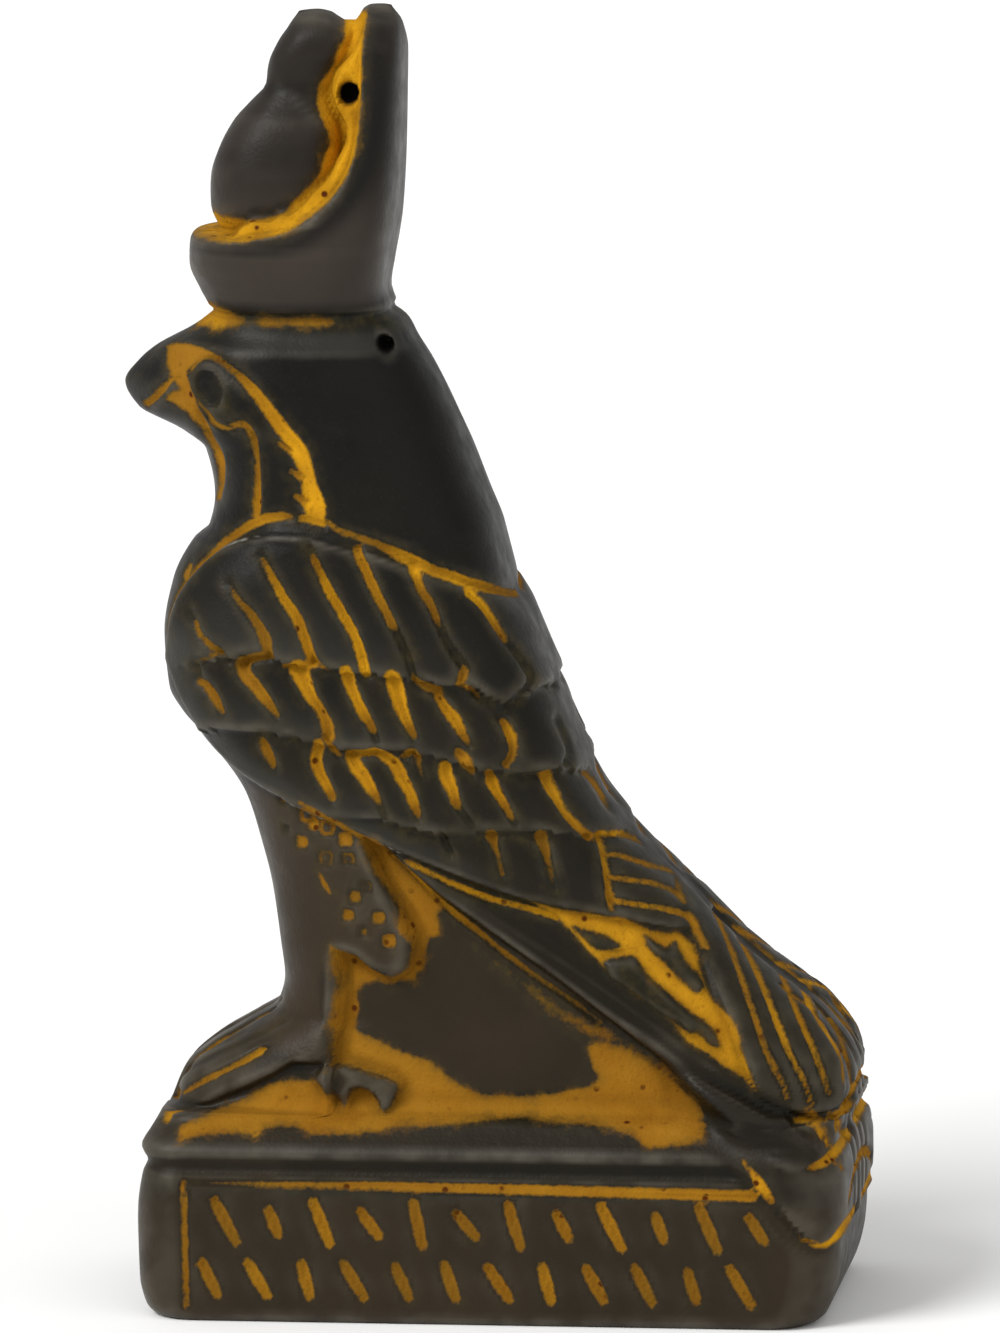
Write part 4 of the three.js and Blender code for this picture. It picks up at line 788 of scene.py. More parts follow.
LORE = [
    (-8.08, 20.32), (-7.82, 20.4), (-7.45, 20.35), (-7.12, 20.25), (-6.83, 20.12), (-6.57, 19.94),
    (-6.37, 19.7), (-6.58, 19.78), (-6.89, 19.94), (-7.15, 19.96), (-7.36, 19.85), (-7.57, 19.65),
    (-7.47, 19.33), (-7.37, 19.02), (-7.27, 18.66), (-7.12, 18.29), (-7.33, 18.29), (-7.59, 18.6),
    (-7.9, 18.81), (-8.11, 18.94), (-7.95, 19.12), (-7.74, 19.2), (-7.89, 19.36), (-8.04, 19.69),
    (-8.09, 20.01)
]
LORE_DEPTH = 0.45
lore = rounded_area(LORE, seen_y, seen_z, 3)
lay(lore, 0.68, in_sight > 0.1)
depth -= LORE_DEPTH * ease(lore / 0.9 + 0.3) * in_sight


def oval(centre, half_length, half_height, lean):
    """A closed oval in squares: cosine across, sine up, turned by the lean."""
    angle = np.linspace(0, 2 * math.pi, 24, endpoint=False)
    across, up = half_length * np.cos(angle), half_height * np.sin(angle)
    return np.stack([centre[0] + across * math.cos(lean) - up * math.sin(lean),
                     centre[1] + across * math.sin(lean) + up * math.cos(lean)], axis=1)


EYE_RIM = 0.12
EYE_DEPTH = 0.5
eye = area_distance(oval((-6.98, 19.21), 0.34, 0.5, 0.3), seen_y, seen_z)
depth += (EYE_RIM * np.exp(-((eye + 0.5) / 0.5) ** 2) - EYE_DEPTH * ease(eye / 0.8 + 0.3)) * in_sight
CRESCENT = [
    (-6.72, 19.23, 0.3, 0.3), (-6.56, 19.08, 0.4, 0.35), (-6.49, 18.92, 0.4, 0.4),
    (-6.59, 18.79, 0.4, 0.35), (-6.78, 18.71, 0.3, 0.3)
]
engrave(CRESCENT, 0.3, seen=True)
pigment = np.where(eye > -0.4, np.minimum(pigment, -0.3 - eye), pigment)

# %% [markdown]
# ## Paint that isn't in a line
# Pigment also lies in broad patches where the rubbing cloth didn't reach: in the crown's hollow,
# round its foot, in the web, behind the feet and in the fan of the tail.

# %% Patches of pigment: strength, softness of the edge, and an outline in squares
CROWN_PATCH = [
    (-7, 23.75), (-6.76, 23.81), (-6.48, 23.7), (-6.09, 23.63), (-5.7, 23.6), (-5.31, 23.68),
    (-4.94, 23.79), (-4.76, 24.02), (-4.49, 24.28), (-4.17, 24.57), (-3.96, 24.9), (-3.85, 25.29),
    (-3.69, 25.63), (-3.84, 25.99), (-4.01, 26.4), (-4.03, 26.76), (-3.95, 27.17), (-3.63, 27.54),
    (-3.47, 28), (-3.28, 28.39), (-3.22, 28.93), (-2.24, 28.93), (-2.44, 27.74), (-2.62, 25.94),
    (-2.85, 24.65), (-3.23, 23.82), (-3.76, 23.2), (-4.8, 22.78), (-6.11, 22.67), (-7.36, 22.66),
    (-7.66, 23.23), (-7.29, 23.52)
]
PATCHES = [
    (0.74, 0.5, [(-4.15, 4.5), (-3.75, 4.35), (-3.43, 4.25), (-3.1, 4), (-2.83, 3.8), (-2.5, 3.75),
        (-2.1, 3.95), (-1.95, 3.6), (-2.35, 3.57), (-2.73, 3.45), (-3.1, 3.55), (-3.47, 3.42), (-3.7, 3.17),
        (-3.63, 2.83), (-3.68, 2.37), (-3.5, 2.2), (-3.1, 2.05), (-2.65, 1.85), (-2.18, 1.65), (-1.61, 1.5),
        (-1.1, 1.1), (-0.36, 0.66), (1, 0.6), (2.32, 0.8), (2.82, 1.05), (2.64, 1.45), (2.62, 2),
        (3.49, 1.95), (4.1, 1.6), (4.8, 1.08), (5.45, 0.56), (5.7, 0.05), (5.6, -0.3), (5.1, -0.45),
        (4.3, -0.5), (3.8, -0.25), (2.97, -0.05), (2, 0), (0.77, 0.1), (-1.53, -0.1), (-2.37, -0.1),
        (-2.73, -0.2), (-3.35, -0.3), (-4.07, -0.33), (-4.58, -0.33), (-4.82, -0.2), (-5.23, -0.17),
        (-5.85, -0.22), (-6, -0.5), (-6.22, -0.33), (-6.88, -0.35), (-7.6, -0.4), (-8.07, -0.52),
        (-8, -0.1), (-7.37, 0.07), (-6.67, 0.4), (-5.95, 0.78), (-5.5, 0.93), (-4.77, 0.97), (-4.3, 1.1),
        (-4.15, 1.7), (-4.2, 2.55), (-4.18, 3.03), (-4.07, 3.57)]),
    (0.76, 0.4, [(-3.28, 7.4), (-3.1, 7.52), (-2.8, 7.45), (-2.6, 7.2), (-2.3, 6.75), (-1.75, 6.2),
        (-1.3, 5.75), (-1.18, 5.55), (-1.33, 5.3), (-1.3, 4.8), (-1.55, 4.7), (-1.65, 4.3), (-1.75, 3.9),
        (-2.1, 3.8), (-2, 4.6), (-2.3, 5.05), (-2.27, 5.35), (-2.45, 5.8), (-2.75, 6.25), (-2.95, 6.62),
        (-3.1, 7)]),
    (0.3, 1, [(-0.5, 4.6), (2.2, 2.9), (4.3, 1.8), (5.5, 0.75), (5.8, 0.2), (4.8, 1), (4, 1.5), (3.2, 1.95),
        (2.4, 2.2), (1.2, 3)]),
    (0.9, 0.25, [(1.2, 5.85), (2, 5.64), (2.47, 5.58), (3, 5.48), (3.5, 5.4), (3.9, 5.2), (4.27, 5.02),
        (4.65, 4.9), (4.85, 4.9), (5.02, 4.8), (5.25, 4.6), (5.4, 4.35), (5.5, 4.05), (5.66, 3.6),
        (5.95, 3.15), (6.35, 2.8), (6.53, 2.42), (6.62, 2.05), (6.7, 1.85), (6.83, 1.52), (6.92, 1.2),
        (7, 0.95), (6.77, 1.15), (6.53, 1.38), (6.17, 1.57), (5.8, 1.87), (5.43, 2.1), (5.15, 2.32),
        (4.97, 2.6), (4.6, 3), (4, 3.45), (3.5, 3.85), (2.95, 4.28), (2.5, 4.75), (2.1, 5.2), (1.6, 5.6)]),
    (0.8, 0.2, [(8.1, 0.45), (8.3, 0.42), (8.6, 0.1), (8.75, -0.3), (8.5, 0), (8.25, 0.2)]),
]
for strength, soft_edge, outline in PATCHES:
    lay(rounded_area(outline, y, z, 4), strength, x > 0.1 * HALF, soft_edge)
in_hollow = np.where(row_height > RIM - 2, hollow_depth(y, z), NO_HOLLOW)
crown_patch = np.minimum(rounded_area(CROWN_PATCH, seen_y, seen_z, 3), in_hollow + 0.35)
lay(crown_patch, 0.97, row_height > RIM - 1, 0.35)
FAN_RIDGES = [
    (0.9, [(3.05, 4.25), (3.53, 4.4), (3.87, 4.4), (4.1, 4.08), (4.43, 3.75), (4.8, 3.42), (5.17, 3.08),
        (5.5, 2.85), (5.78, 2.66), (5.98, 2.4), (6.1, 2.1), (5.85, 2.12), (5.53, 2.4), (5.25, 2.45),
        (5, 2.66), (4.7, 2.8), (4.2, 3.15), (3.6, 3.6), (3.1, 3.95)]),
    (0.6, [(2.27, 5.2), (2.5, 5.12), (2.8, 5.05), (3.17, 4.92), (3.5, 4.66), (3.13, 4.57), (2.93, 4.6),
        (2.6, 4.8)]),
    (0.8, [(4.07, 4.92), (4.35, 4.73), (4.63, 4.58), (4.83, 4.73), (4.97, 4.4), (5.25, 4.08), (5.47, 3.85),
        (5.6, 3.6), (5.45, 3.42), (5.18, 3.63), (4.9, 3.9), (4.62, 4.2), (4.35, 4.43), (4.12, 4.68)]),
]
for rise, outline in FAN_RIDGES:
    ridge = rounded_area(outline, y, z, 3)
    depth += rise * ease(ridge / 1.4 + 0.4) * on_side
    pigment = np.where((on_side > 0.05) & (y > 2 * SQUARE), np.minimum(pigment, -ridge), pigment)
engrave([(3.05, 4.3, 0.5, 0.9), (3.35, 4.5, 0.4, 0.8), (3.63, 4.6, 0.4, 0.8)], 0.4)
pigment = np.where(on_side > 0.3, np.minimum(pigment, -claw_inside), pigment)

# %% Pigment round the foot of the crown
# The band is widest over the forehead, thins out to a film on the sides and fades towards the back.
back_share = ease((y / SQUARE + 7.4) / 1.2)
band_half = 1.7 - 1.15 * back_share
band_middle = (20.78 - 0.05 * back_share) * SQUARE
strength = 0.9 - 0.25 * back_share - 0.45 * ease((y / SQUARE + 4.2) / 0.6)
strength = strength - 0.35 * np.exp(-(((y / SQUARE + 6.2) / 0.35) ** 2))
lay(band_half - np.abs(z - band_middle), strength, np.full(x.shape, True), 0.6)

# %% [markdown]
# ## Thigh, feet, back and plinth
# Small square rings are punched into the thigh. The toes are ridges with narrow gaps, and an opening
# runs up between the shins. Upright lines and two arched borders mark the back of the tail, which
# lies over the plinth. The plinth's long sides hold a frame line and two rows of short strokes.

# %% Punched rings and spots on the thigh: place, radius in millimetres, ring or not, pigment
PUNCHES = [
    (-4.67, 8, 1.1, True, 0.7), (-4.52, 7.75, 0.8, False, 0.8), (-4.13, 7.7, 1.1, True, 0.7),
    (-3.65, 7.4, 0.95, False, 0.75), (-4.85, 7.25, 0.85, False, 0.75), (-4.2, 6.87, 1.05, True, 0.5),
    (-3.58, 6.88, 0.9, True, 0.5), (-3.12, 6.13, 0.85, True, 0.45), (-3.43, 5.87, 0.85, False, 0.5),
    (-3.62, 5.38, 0.75, False, 0.65), (-2.8, 5.33, 0.85, False, 0.6), (-2.52, 4.73, 0.9, False, 0.7),
    (-5.35, 8.35, 0.5, False, 0.5), (-3.2, 4.95, 0.7, False, 0.45), (-5.3, 7.6, 0.45, False, 0.4)
]
SQUARENESS = 0.88
RING_WIDTH = 0.55
PUNCH_DEPTH = 0.45
for centre_y, centre_z, radius, is_ring, strength in PUNCHES:
    across, up = np.abs(y - centre_y * SQUARE), np.abs(z - centre_z * SQUARE)
    inside = radius - np.maximum(np.hypot(across, up) * SQUARENESS, np.maximum(across, up))
    if is_ring:
        inside = np.minimum(inside, RING_WIDTH - inside)
    depth -= PUNCH_DEPTH * ease(inside / 0.5 + 0.6) * on_side
    lay(inside, strength, on_side > 0.3)
THIGH_CUTS = [
    [(-4.38, 6.42, 0.5, 0.5), (-4.25, 6.17, 0.8, 0.6), (-4.1, 5.95, 0.5, 0.5)],
    [(-4.75, 8.4, 0.6, 0.5), (-4.1, 8, 1, 0.6), (-3.4, 7.6, 0.9, 0.6), (-3.1, 7.45, 0.9, 0.7)],
]
engrave_all(THIGH_CUTS, 0.35, seen=False)

# %% Toes
# The outer toe is a bar that slopes down and forward, with a filled groove above it.
FOOT_CUTS = [
    [(-8.49, -0.04, 1.2, 0.8), (-8.3, 0.42, 1, 0.75), (-8.16, 0.74, 0.5, 0.5)],
    [(-8.03, 0.66, 0.4, 0.5), (-7.55, 0.96, 0.7, 0.7), (-6.88, 1.29, 0.8, 0.75), (-6.35, 1.56, 0.9, 0.8),
     (-5.9, 1.84, 1, 0.9)],
    [(-7.91, 1.28, 0.4, 0.25), (-7.14, 1.69, 0.4, 0.3), (-6.34, 2.04, 0.4, 0.3), (-5.68, 2.37, 0.5, 0.3),
     (-5.33, 2.59, 0.5, 0.25)],
    [(-7.64, 1.76, 0.4, 0.3), (-7, 2.01, 0.5, 0.4), (-6.34, 2.31, 0.4, 0.4)],
    [(-7.26, 2.24, 0.4, 0.35), (-6.46, 2.62, 0.5, 0.45), (-5.88, 2.98, 0.5, 0.45), (-5.4, 3.22, 0.4, 0.4)],
]
engrave_all(FOOT_CUTS, 1.0)
TOE_WIDTH = HALF / 3
TOE_GAP_DEPTH = 1.5
across_toes = x / TOE_WIDTH
from_gap = np.abs(across_toes - np.round(np.clip(across_toes, 1, 2))) * TOE_WIDTH
toe_zone = ease((2.6 * SQUARE - z) / 2) * ease((z + 0.4) / 0.8) * ease((-5.6 * SQUARE - y) / 1.5)
toe_zone = toe_zone * (on_side < 0.9)
depth -= TOE_GAP_DEPTH * ease(1 - from_gap / 0.9) * toe_zone
lay(0.6 - from_gap, 0.6, toe_zone > 0.5)

# %% Back of the tail
BACK_LINE_PLACES = np.array([0.13, 0.39]) * HALF
BACK_LINE_DEPTH = 0.6
ARCH_DEPTH = 0.7
rear = (y > 2 * SQUARE) & (tail_opening > 0.2) | (y > 8.2 * SQUARE)
line_gap = np.min(np.abs(x[..., None] - BACK_LINE_PLACES), axis=-1)
line_top = 5.1 * SQUARE - 4.6 * SQUARE * x / HALF
on_lines = rear & (z < line_top) & (z > -2.9 * SQUARE)
depth -= np.where(on_lines, BACK_LINE_DEPTH * ease(1 - line_gap / 0.8), 0)
lay(0.4 - line_gap, 0.55, on_lines)
ARCHES = [(-1.1, 1.9), (-2.9, 1.5)]
for edge, rise in ARCHES:
    across = x / (HALF + SIDE_LEDGE)
    gap = np.abs(z - (edge + rise * (1 - across**2)) * SQUARE + 0.5)
    on_back = (y > 8.1 * SQUARE) & (z < 1.6 * SQUARE) & (x < 0.8 * HALF)
    depth -= np.where(on_back, ARCH_DEPTH * ease(1 - gap / 0.95), 0)
    lay(0.75 - gap, 0.8, on_back)
DRAPE_CUTS = [
    [(10, 1.06, 0.5, 0.7), (9.79, 0.66, 0.8, 0.85), (9.55, 0.26, 0.9, 0.9), (9.34, -0.11, 1.2, 0.95),
     (9.07, -0.54, 1.4, 0.95), (8.84, -0.8, 1.4, 0.9), (8.55, -0.99, 1.2, 0.8), (8.34, -1.05, 0.7, 0.5)],
    [(8.92, -0.75, 0.7, 0.8), (9.07, -0.96, 0.5, 0.7), (9.2, -1.14, 0.4, 0.5)],
    [(9.93, -1.37, 0.7, 0.7), (9.66, -1.9, 0.8, 0.85), (9.4, -2.3, 0.9, 0.9), (9.19, -2.6, 1, 0.9),
     (9, -2.92, 1.2, 0.95), (8.76, -3.11, 1, 0.9), (8.45, -3.06, 0.9, 0.85), (8.17, -2.93, 0.7, 0.6)],
    [(6.7, -0.89, 0.5, 0.5), (6.91, -1.18, 0.9, 0.8), (7.11, -1.49, 1.7, 0.95), (7.32, -1.81, 1.4, 0.9),
     (7.5, -2.07, 0.9, 0.4), (7.7, -2.41, 0.9, 0), (7.93, -2.72, 0.9, 0), (8.14, -2.93, 0.7, 0.3)],
]
engrave_all(DRAPE_CUTS, 0.6)

# %% Frame and strokes on the plinth
STROKE_LINE = 1.8
STROKE_ROWS = 2
STROKE_COLUMNS = 12
FRAME_DROP = 7.9
FRAME_FOOT = 2
FRAME_INSET = 11
ROW_GAP = 1.1
frame_top = -FRAME_DROP / SQUARE
frame_bottom = (FRAME_FOOT - PLINTH) / SQUARE
frame_front = -8.85 + (7.4 - TOE_LEDGE) / SQUARE
frame_back = 9.5 - FRAME_INSET / SQUARE
FRAME_CUTS = [
    [(frame_front, frame_top, 0.7, 0.4), (-5, frame_top, 0.9, 0.6), (-2, frame_top, 1.3, 0.75),
     (3, frame_top - 0.05, 1.5, 0.8), (frame_back - 0.3, frame_top - 0.1, 1.7, 0.8)],
    [(frame_front, frame_top, 0.9, 0.7), (frame_front, -3, 0.9, 0.75),
     (frame_front, frame_bottom, 0.9, 0.6)],
]
engrave_all(FRAME_CUTS, 0.6, seen=False)
row_pitch = (frame_top - frame_bottom - ROW_GAP / SQUARE) / STROKE_ROWS
column_pitch = (frame_back - frame_front) / STROKE_COLUMNS
for row in range(STROKE_ROWS):
    for column in range(STROKE_COLUMNS):
        phase = column * 2.4 + row * 1.7
        across = frame_front + column_pitch * (column + 0.5 + 0.35 * row)
        up = frame_bottom + row_pitch * (row + 0.5)
        reach = row_pitch * (0.29 + 0.09 * math.sin(phase * 1.3))
        lean = column_pitch * (0.15 + 0.07 * math.sin(phase))
        strength = 0.68 + 0.14 * math.sin(phase * 3.1)
        stroke = [(across + side * lean, up - side * reach, STROKE_LINE * (1 - 0.2 * abs(side)), strength)
                  for side in (-1, 0, 1)]
        engrave(stroke, 0.7)
print(f"deepest cut {depth.min():.1f} mm, painted share {np.mean(pigment > 0):.2f}")

# %% [markdown]
# ## From numbers to a mesh
# Each point moves along the level normal of its row, which is square to the row's own direction.
# Then the half ring is mirrored, and the first and last rows are drawn together on the middle line,
# where their points merge and close the shape.

# %% Move the points, open the shins and sink the two blind holes


def mean_of_four(values):
    """The mean of the rows above and below and of the columns on both sides."""
    return sum(np.roll(values, step, axis) for step in (1, -1) for axis in (0, 1)) / 4


dx, dy = np.gradient(x, axis=1), np.gradient(y, axis=1)
length = np.hypot(dx, dy) + 1e-9
x_new = x + dy / length * depth
y_new = y - dx / length * depth
y_new = np.where(y_new > 0, soft_least(y_new, SECTIONS[:, 2].max() * SQUARE - 0.02, 0.4), y_new)
SOFT_CORNER = [
    (4.6, 0.7), (5.2, 0.9), (5.9, 0.35), (6.6, -0.15), (7.3, -0.65), (7.3, -1.3), (6.6, -1.3), (5.7, -0.7),
    (5, -0.1)
]
SMOOTHING_ROUNDS = 16
SMOOTHING = 0.5
soft_share = SMOOTHING * ease(rounded_area(SOFT_CORNER, seen_y, seen_z) / 2 + 0.2) * ease(2 * in_sight)
for _ in range(SMOOTHING_ROUNDS):
    for values in (x_new, y_new):
        values += soft_share * (mean_of_four(values) - values)
x_new[:, 0] = x_new[:, -1] = 0
GAP_TOP = 6.4
GAP_END = -4.4
GAP_HALF = 2.5
GAP_FLARE = 5.4
LEAST_GAP = 0.05
gap_share = np.sqrt(np.maximum(0, 1 - np.clip(z / (GAP_TOP * SQUARE), 0, 1) ** 5))
gap_flank = np.abs(x_new) / (GAP_HALF * np.maximum(gap_share, LEAST_GAP))
gap_back = (GAP_END - gap_flank * GAP_FLARE) * SQUARE
in_gap = (z > 0.4) & (gap_share > LEAST_GAP)
y_new = np.where(in_gap, np.maximum(y_new, gap_back), y_new)
# Each hole has a place in squares, and its radius and depth in millimetres.
HOLES = [(-3.56, 26.6, 1.4, 2.4), (-2.62, 20.1, 1, 2.4)]
# The distance inside each hole is kept, so the shader can paint shade in it.
hole = np.full(x.shape, NOTHING_NEAR)
for centre_y, centre_z, radius, sink in HOLES:
    inside = radius - np.hypot(y - centre_y * SQUARE, (z - centre_z * SQUARE) * 0.9)
    x_new = x_new - np.where(x > 3, sink * ease(inside / 0.7 + 0.3), 0)
    hole = np.maximum(hole, np.where(x > 3, inside, NOTHING_NEAR))
x_new = np.maximum(x_new, 0)

# %% Where dust and old pigment dull the stain, and where highlights are painted
# The cup, the thigh and the block are warmer and lighter than the rubbed wing and neck.
up = z / SQUARE
cup_dust = ease((up - 20.9) / 0.5) * (1 - 0.75 * np.exp(-(((in_hollow + 2.2) / 1.5) ** 2)))
cup_dust = cup_dust * (1 - 0.55 * ease((up - 23) / 2))
THIGH = [(-6.6, 8.3), (-4.9, 8.2), (-3.2, 7.4), (-2.2, 5.6), (-2, 4), (-4.2, 3.9), (-4.3, 1.6), (-6.6, 2.6)]
thigh_dust = ease((rounded_area(THIGH, y, z) + 0.5) / 2)
WEB_MIDDLE = [(-4.2, 0.2), (-3.9, 3.6), (-1.9, 4.2), (-1.2, 5.6), (6.4, 0.2)]
web_dust = 0.6 * ease((rounded_area(WEB_MIDDLE, y, z) + 0.3) / 1.5)
ledge_dust = 0.3 * ease((0.9 + up) / 0.4) * ease(-up / 0.3)
low_dust = 0.6 * ease((-up - 1.7) / 0.4)
end_dust = 0.5 * ease(-up / 0.3) * (1 - ease((x - HALF) / 2))
front_dust = 0.35 * ease((8.4 - up) / 1.5) * ease((-5 - y / SQUARE) / 0.5)
dust = np.maximum.reduce([cup_dust, thigh_dust, web_dust, ledge_dust, low_dust, end_dust, front_dust])
# Painted highlights: a pale line along the plinth's shoulder, a band on the bevel under the crown, and a
# streak in the crease between knob and ball.
shoulder_line = np.exp(-(((z + 3.5) / 0.6) ** 2)) * ease((6.6 * SQUARE - y) / 20)
painted_highlight = np.maximum(painted_highlight, 0.9 * shoulder_line * (x > 0.8 * HALF))
painted_highlight = np.maximum(painted_highlight, 0.7 * head_band * ease((y / SQUARE + 7.2) / 1.5))
BALL_CREASE = [(-5.5, 26.77), (-5.06, 26.46), (-4.54, 25.99), (-4.03, 25.53)]
crease_gap, = nearest_on(BALL_CREASE, y, z)
painted_highlight = np.maximum(painted_highlight, 0.9 * np.exp(-((crease_gap / 0.5) ** 2)) * (up > 23) * in_sight)

# %% Mirror, close and build the mesh
half_points = np.stack([x_new, y_new + SHIFT, z + PLINTH], axis=-1)
under = half_points[:1] * np.array([1.0, 1.0, 0.0])
# Three more rows on the floor close the underside, each drawn in to a share of the outline.
UNDER_SHARES = (0, 0.45, 0.85)
bottom_rows = np.concatenate([under * np.array([share, 1, 1]) for share in UNDER_SHARES])
half_points = np.concatenate([bottom_rows, half_points])
half_points[-1, :, 0] = 0


def with_floor_rows(values):
    """Repeats the lowest row for the rows that close the underside."""
    return np.concatenate([np.repeat(values[:1], len(UNDER_SHARES), axis=0), values])


mirror = half_points[:, -2:0:-1] * np.array([-1.0, 1.0, 1.0])
points = np.concatenate([half_points, mirror], axis=1)
rows, ring = points.shape[:2]
index = np.arange(rows * ring).reshape(rows, ring)
beside = np.roll(index, -1, axis=1)
quads = np.stack([index[:-1], beside[:-1], beside[1:], index[1:]], axis=-1).reshape(-1, 4)

mesh = bpy.data.meshes.new("horus_falcon_surface")
mesh.from_pydata(points.reshape(-1, 3) * MM, [], quads)
MIRRORED = {"pigment": pigment, "film": film, "glow": glow, "broad": broad, "blind_hole": hole,
            "dust": dust, "painted_highlight": painted_highlight, "rim_highlight": rim_highlight, "nose_shade": nose_shade}


def store(name, values):
    """Keeps a number for each point on the mesh, where the shader reads it."""
    numbers = values.astype(np.float32).ravel()
    mesh.attributes.new(name, "FLOAT", "POINT").data.foreach_set("value", numbers)


for name, values in MIRRORED.items():
    values = with_floor_rows(values)
    store(name, np.concatenate([values, values[:, -2:0:-1]], axis=1))

work = bmesh.new()
work.from_mesh(mesh)
bmesh.ops.remove_doubles(work, verts=work.verts, dist=1e-6)
bmesh.ops.recalc_face_normals(work, faces=work.faces)
work.to_mesh(mesh)
work.free()
mesh.polygons.foreach_set("use_smooth", np.ones(len(mesh.polygons), bool))
falcon = bpy.data.objects.new("horus_falcon", mesh)
bpy.context.collection.objects.link(falcon)
triangles = sum(len(face.vertices) - 2 for face in mesh.polygons)
print("triangles:", triangles)

# %% How far each point bulges out or sinks in, read from the mesh itself, for edge wear, painted highlights and painted shade


def read(items, name, width, kind=float):
    """A property of every item of the mesh, with a row of the given width for each."""
    values = np.empty(len(items) * width, kind)
    items.foreach_get(name, values)
    return values.reshape(-1, width)


places, normals = read(mesh.vertices, "co", 3), read(mesh.vertices, "normal", 3)
edges = read(mesh.edges, "vertices", 2, int)


def neighbour_mean(values):
    """The mean of each point's neighbours along the mesh's edges."""
    total = np.zeros(values.shape)
    count = np.zeros(len(values))
    for here, there in ((0, 1), (1, 0)):
        np.add.at(total, edges[:, here], values[edges[:, there]])
        np.add.at(count, edges[:, here], 1)
    return total / count.reshape(-1, *[1] * (values.ndim - 1))


BULGE_ROUNDS = 6
soft = places
for _ in range(BULGE_ROUNDS):
    soft = neighbour_mean(soft)
bulge = np.einsum("ij,ij->i", places - soft, normals) / MM
store("bulge", bulge)
print(f"bulge from {bulge.min():.2f} to {bulge.max():.2f} mm")

# %% [markdown]
# ## The finish
# The body is cast stone dust with a dark stain, rubbed to a satin sheen, like basalt. Ochre pigment
# is a dry iron-earth colour: matt, strong in hue, and speckled with dark grit where it is thin. The
# pigment's distance to its edge is on the mesh as an attribute. The shader adds noise to it before
# it draws the line, so the edge frays as brushed paint does.

# %% Colours and nodes


def linear(hex_colour):
    """An sRGB hex colour as linear red, green, blue and 1."""
    channels = [int(hex_colour[i:i + 2], 16) / 255 for i in (1, 3, 5)]
    return [c / 12.92 if c <= 0.04045 else ((c + 0.055) / 1.055) ** 2.4 for c in channels] + [1.0]


def add(kind, inputs, **settings):
    """Adds a node. Inputs are its sockets: a value, or a socket to link. Settings are its properties."""
    node = tree.nodes.new(kind)
    for name, value in settings.items():
        setattr(node, name, value)
    for name, value in inputs.items():
        if isinstance(value, bpy.types.NodeSocket):
            tree.links.new(value, node.inputs[name])
        else:
            node.inputs[name].default_value = value
    return node


stone = bpy.data.materials.new("basalt_look_cast_stone")
stone.use_nodes = True
tree = stone.node_tree
tree.nodes.clear()
place = add("ShaderNodeTexCoord", {}).outputs["Object"]


def noise(size_mm, detail=2.0, roughness=0.5):
    """Noise from 0 to 1, with features of a real size in millimetres."""
    scale = 1 / (size_mm * MM)
    return add("ShaderNodeTexNoise", {
        "Vector": place, "Scale": scale, "Detail": detail, "Roughness": roughness}).outputs["Fac"]


def spread(value, start, end, low=0.0, high=1.0):
    """Maps start to low and end to high, with both ends held."""
    return add("ShaderNodeMapRange", {
        "Value": value, "From Min": start, "From Max": end, "To Min": low, "To Max": high
    }, clamp=True).outputs["Result"]


def maths(kind, a, b):
    """One step of arithmetic on two values or sockets."""
    return add("ShaderNodeMath", {0: a, 1: b}, operation=kind).outputs["Value"]


def times(a, b):
    """The product of two values or sockets."""
    return maths("MULTIPLY", a, b)


def plus(a, b):
    """The sum of two values or sockets."""
    return maths("ADD", a, b)


def less(a, b):
    """The first value or socket less the second."""
    return maths("SUBTRACT", a, b)


def mixed(share, a, b):
    """A mix of two colours, each a socket or a hex code."""
    a, b = (linear(colour) if isinstance(colour, str) else colour for colour in (a, b))
    return add("ShaderNodeMix", {0: share, 6: a, 7: b}, data_type="RGBA").outputs[2]


def layered(colour, layers):
    """A colour with layers over it. Each layer is a share and a colour, and covers those before it."""
    for share, above in layers:
        colour = mixed(share, colour, above)
    return colour


def attribute(name):
    """A number that was stored on the mesh."""
    return add("ShaderNodeAttribute", {}, attribute_name=name).outputs["Fac"]


def between(share, a, b):
    """A mix of two numbers."""
    return add("ShaderNodeMix", {0: share, 2: a, 3: b}, data_type="FLOAT").outputs[0]


# %% What the mesh and the noise tell the shader
PALE_END, DARK_END = 0.045, 0.12
edge_inside, film_inside, strength = attribute("pigment"), attribute("film"), attribute("glow")
broad_value, painted_highlight_value, rim_highlight_value = attribute("broad"), attribute("painted_highlight"), attribute("rim_highlight")
bulge_value, hole_shade, dust_value = attribute("bulge"), attribute("blind_hole"), attribute("dust")
nose_shade_value = attribute("nose_shade")
height = add("ShaderNodeSeparateXYZ", {"Vector": place}).outputs["Z"]
low_down = spread(height, DARK_END, PALE_END)
# Bulging edges are both worn and painted lighter as a highlight.
worn_and_highlit = spread(bulge_value, 0.05, 0.3)
# Painted shade: hollows and creases are coloured darker.
painted_hollow_shade = spread(bulge_value, -0.05, -0.3)
grit = noise(0.45, 2, 0.7)
cloud = noise(14, 3)

# %% How far the paint reaches
fine = less(noise(0.8, 3, 0.65), 0.5)
coarse = less(noise(3.4, 4, 0.65), 0.5)
line_fray = plus(times(fine, 0.55), times(coarse, 0.35))
patch_fray = plus(times(fine, 1.4), times(coarse, 3.2))
line_reach = plus(edge_inside, line_fray)
patch_reach = plus(edge_inside, patch_fray)
painted = between(broad_value, spread(line_reach, -0.12, 0.2), spread(patch_reach, -0.45, 0.75))
thick = between(broad_value, spread(line_reach, 0.0, 0.45), spread(patch_reach, 0.2, 2.2))
around = spread(plus(film_inside, times(coarse, 1.2)), -1.6, 0.2)
around = times(around, spread(noise(1.3, 3, 0.7), 0.35, 0.65, 0.25, 1.0))
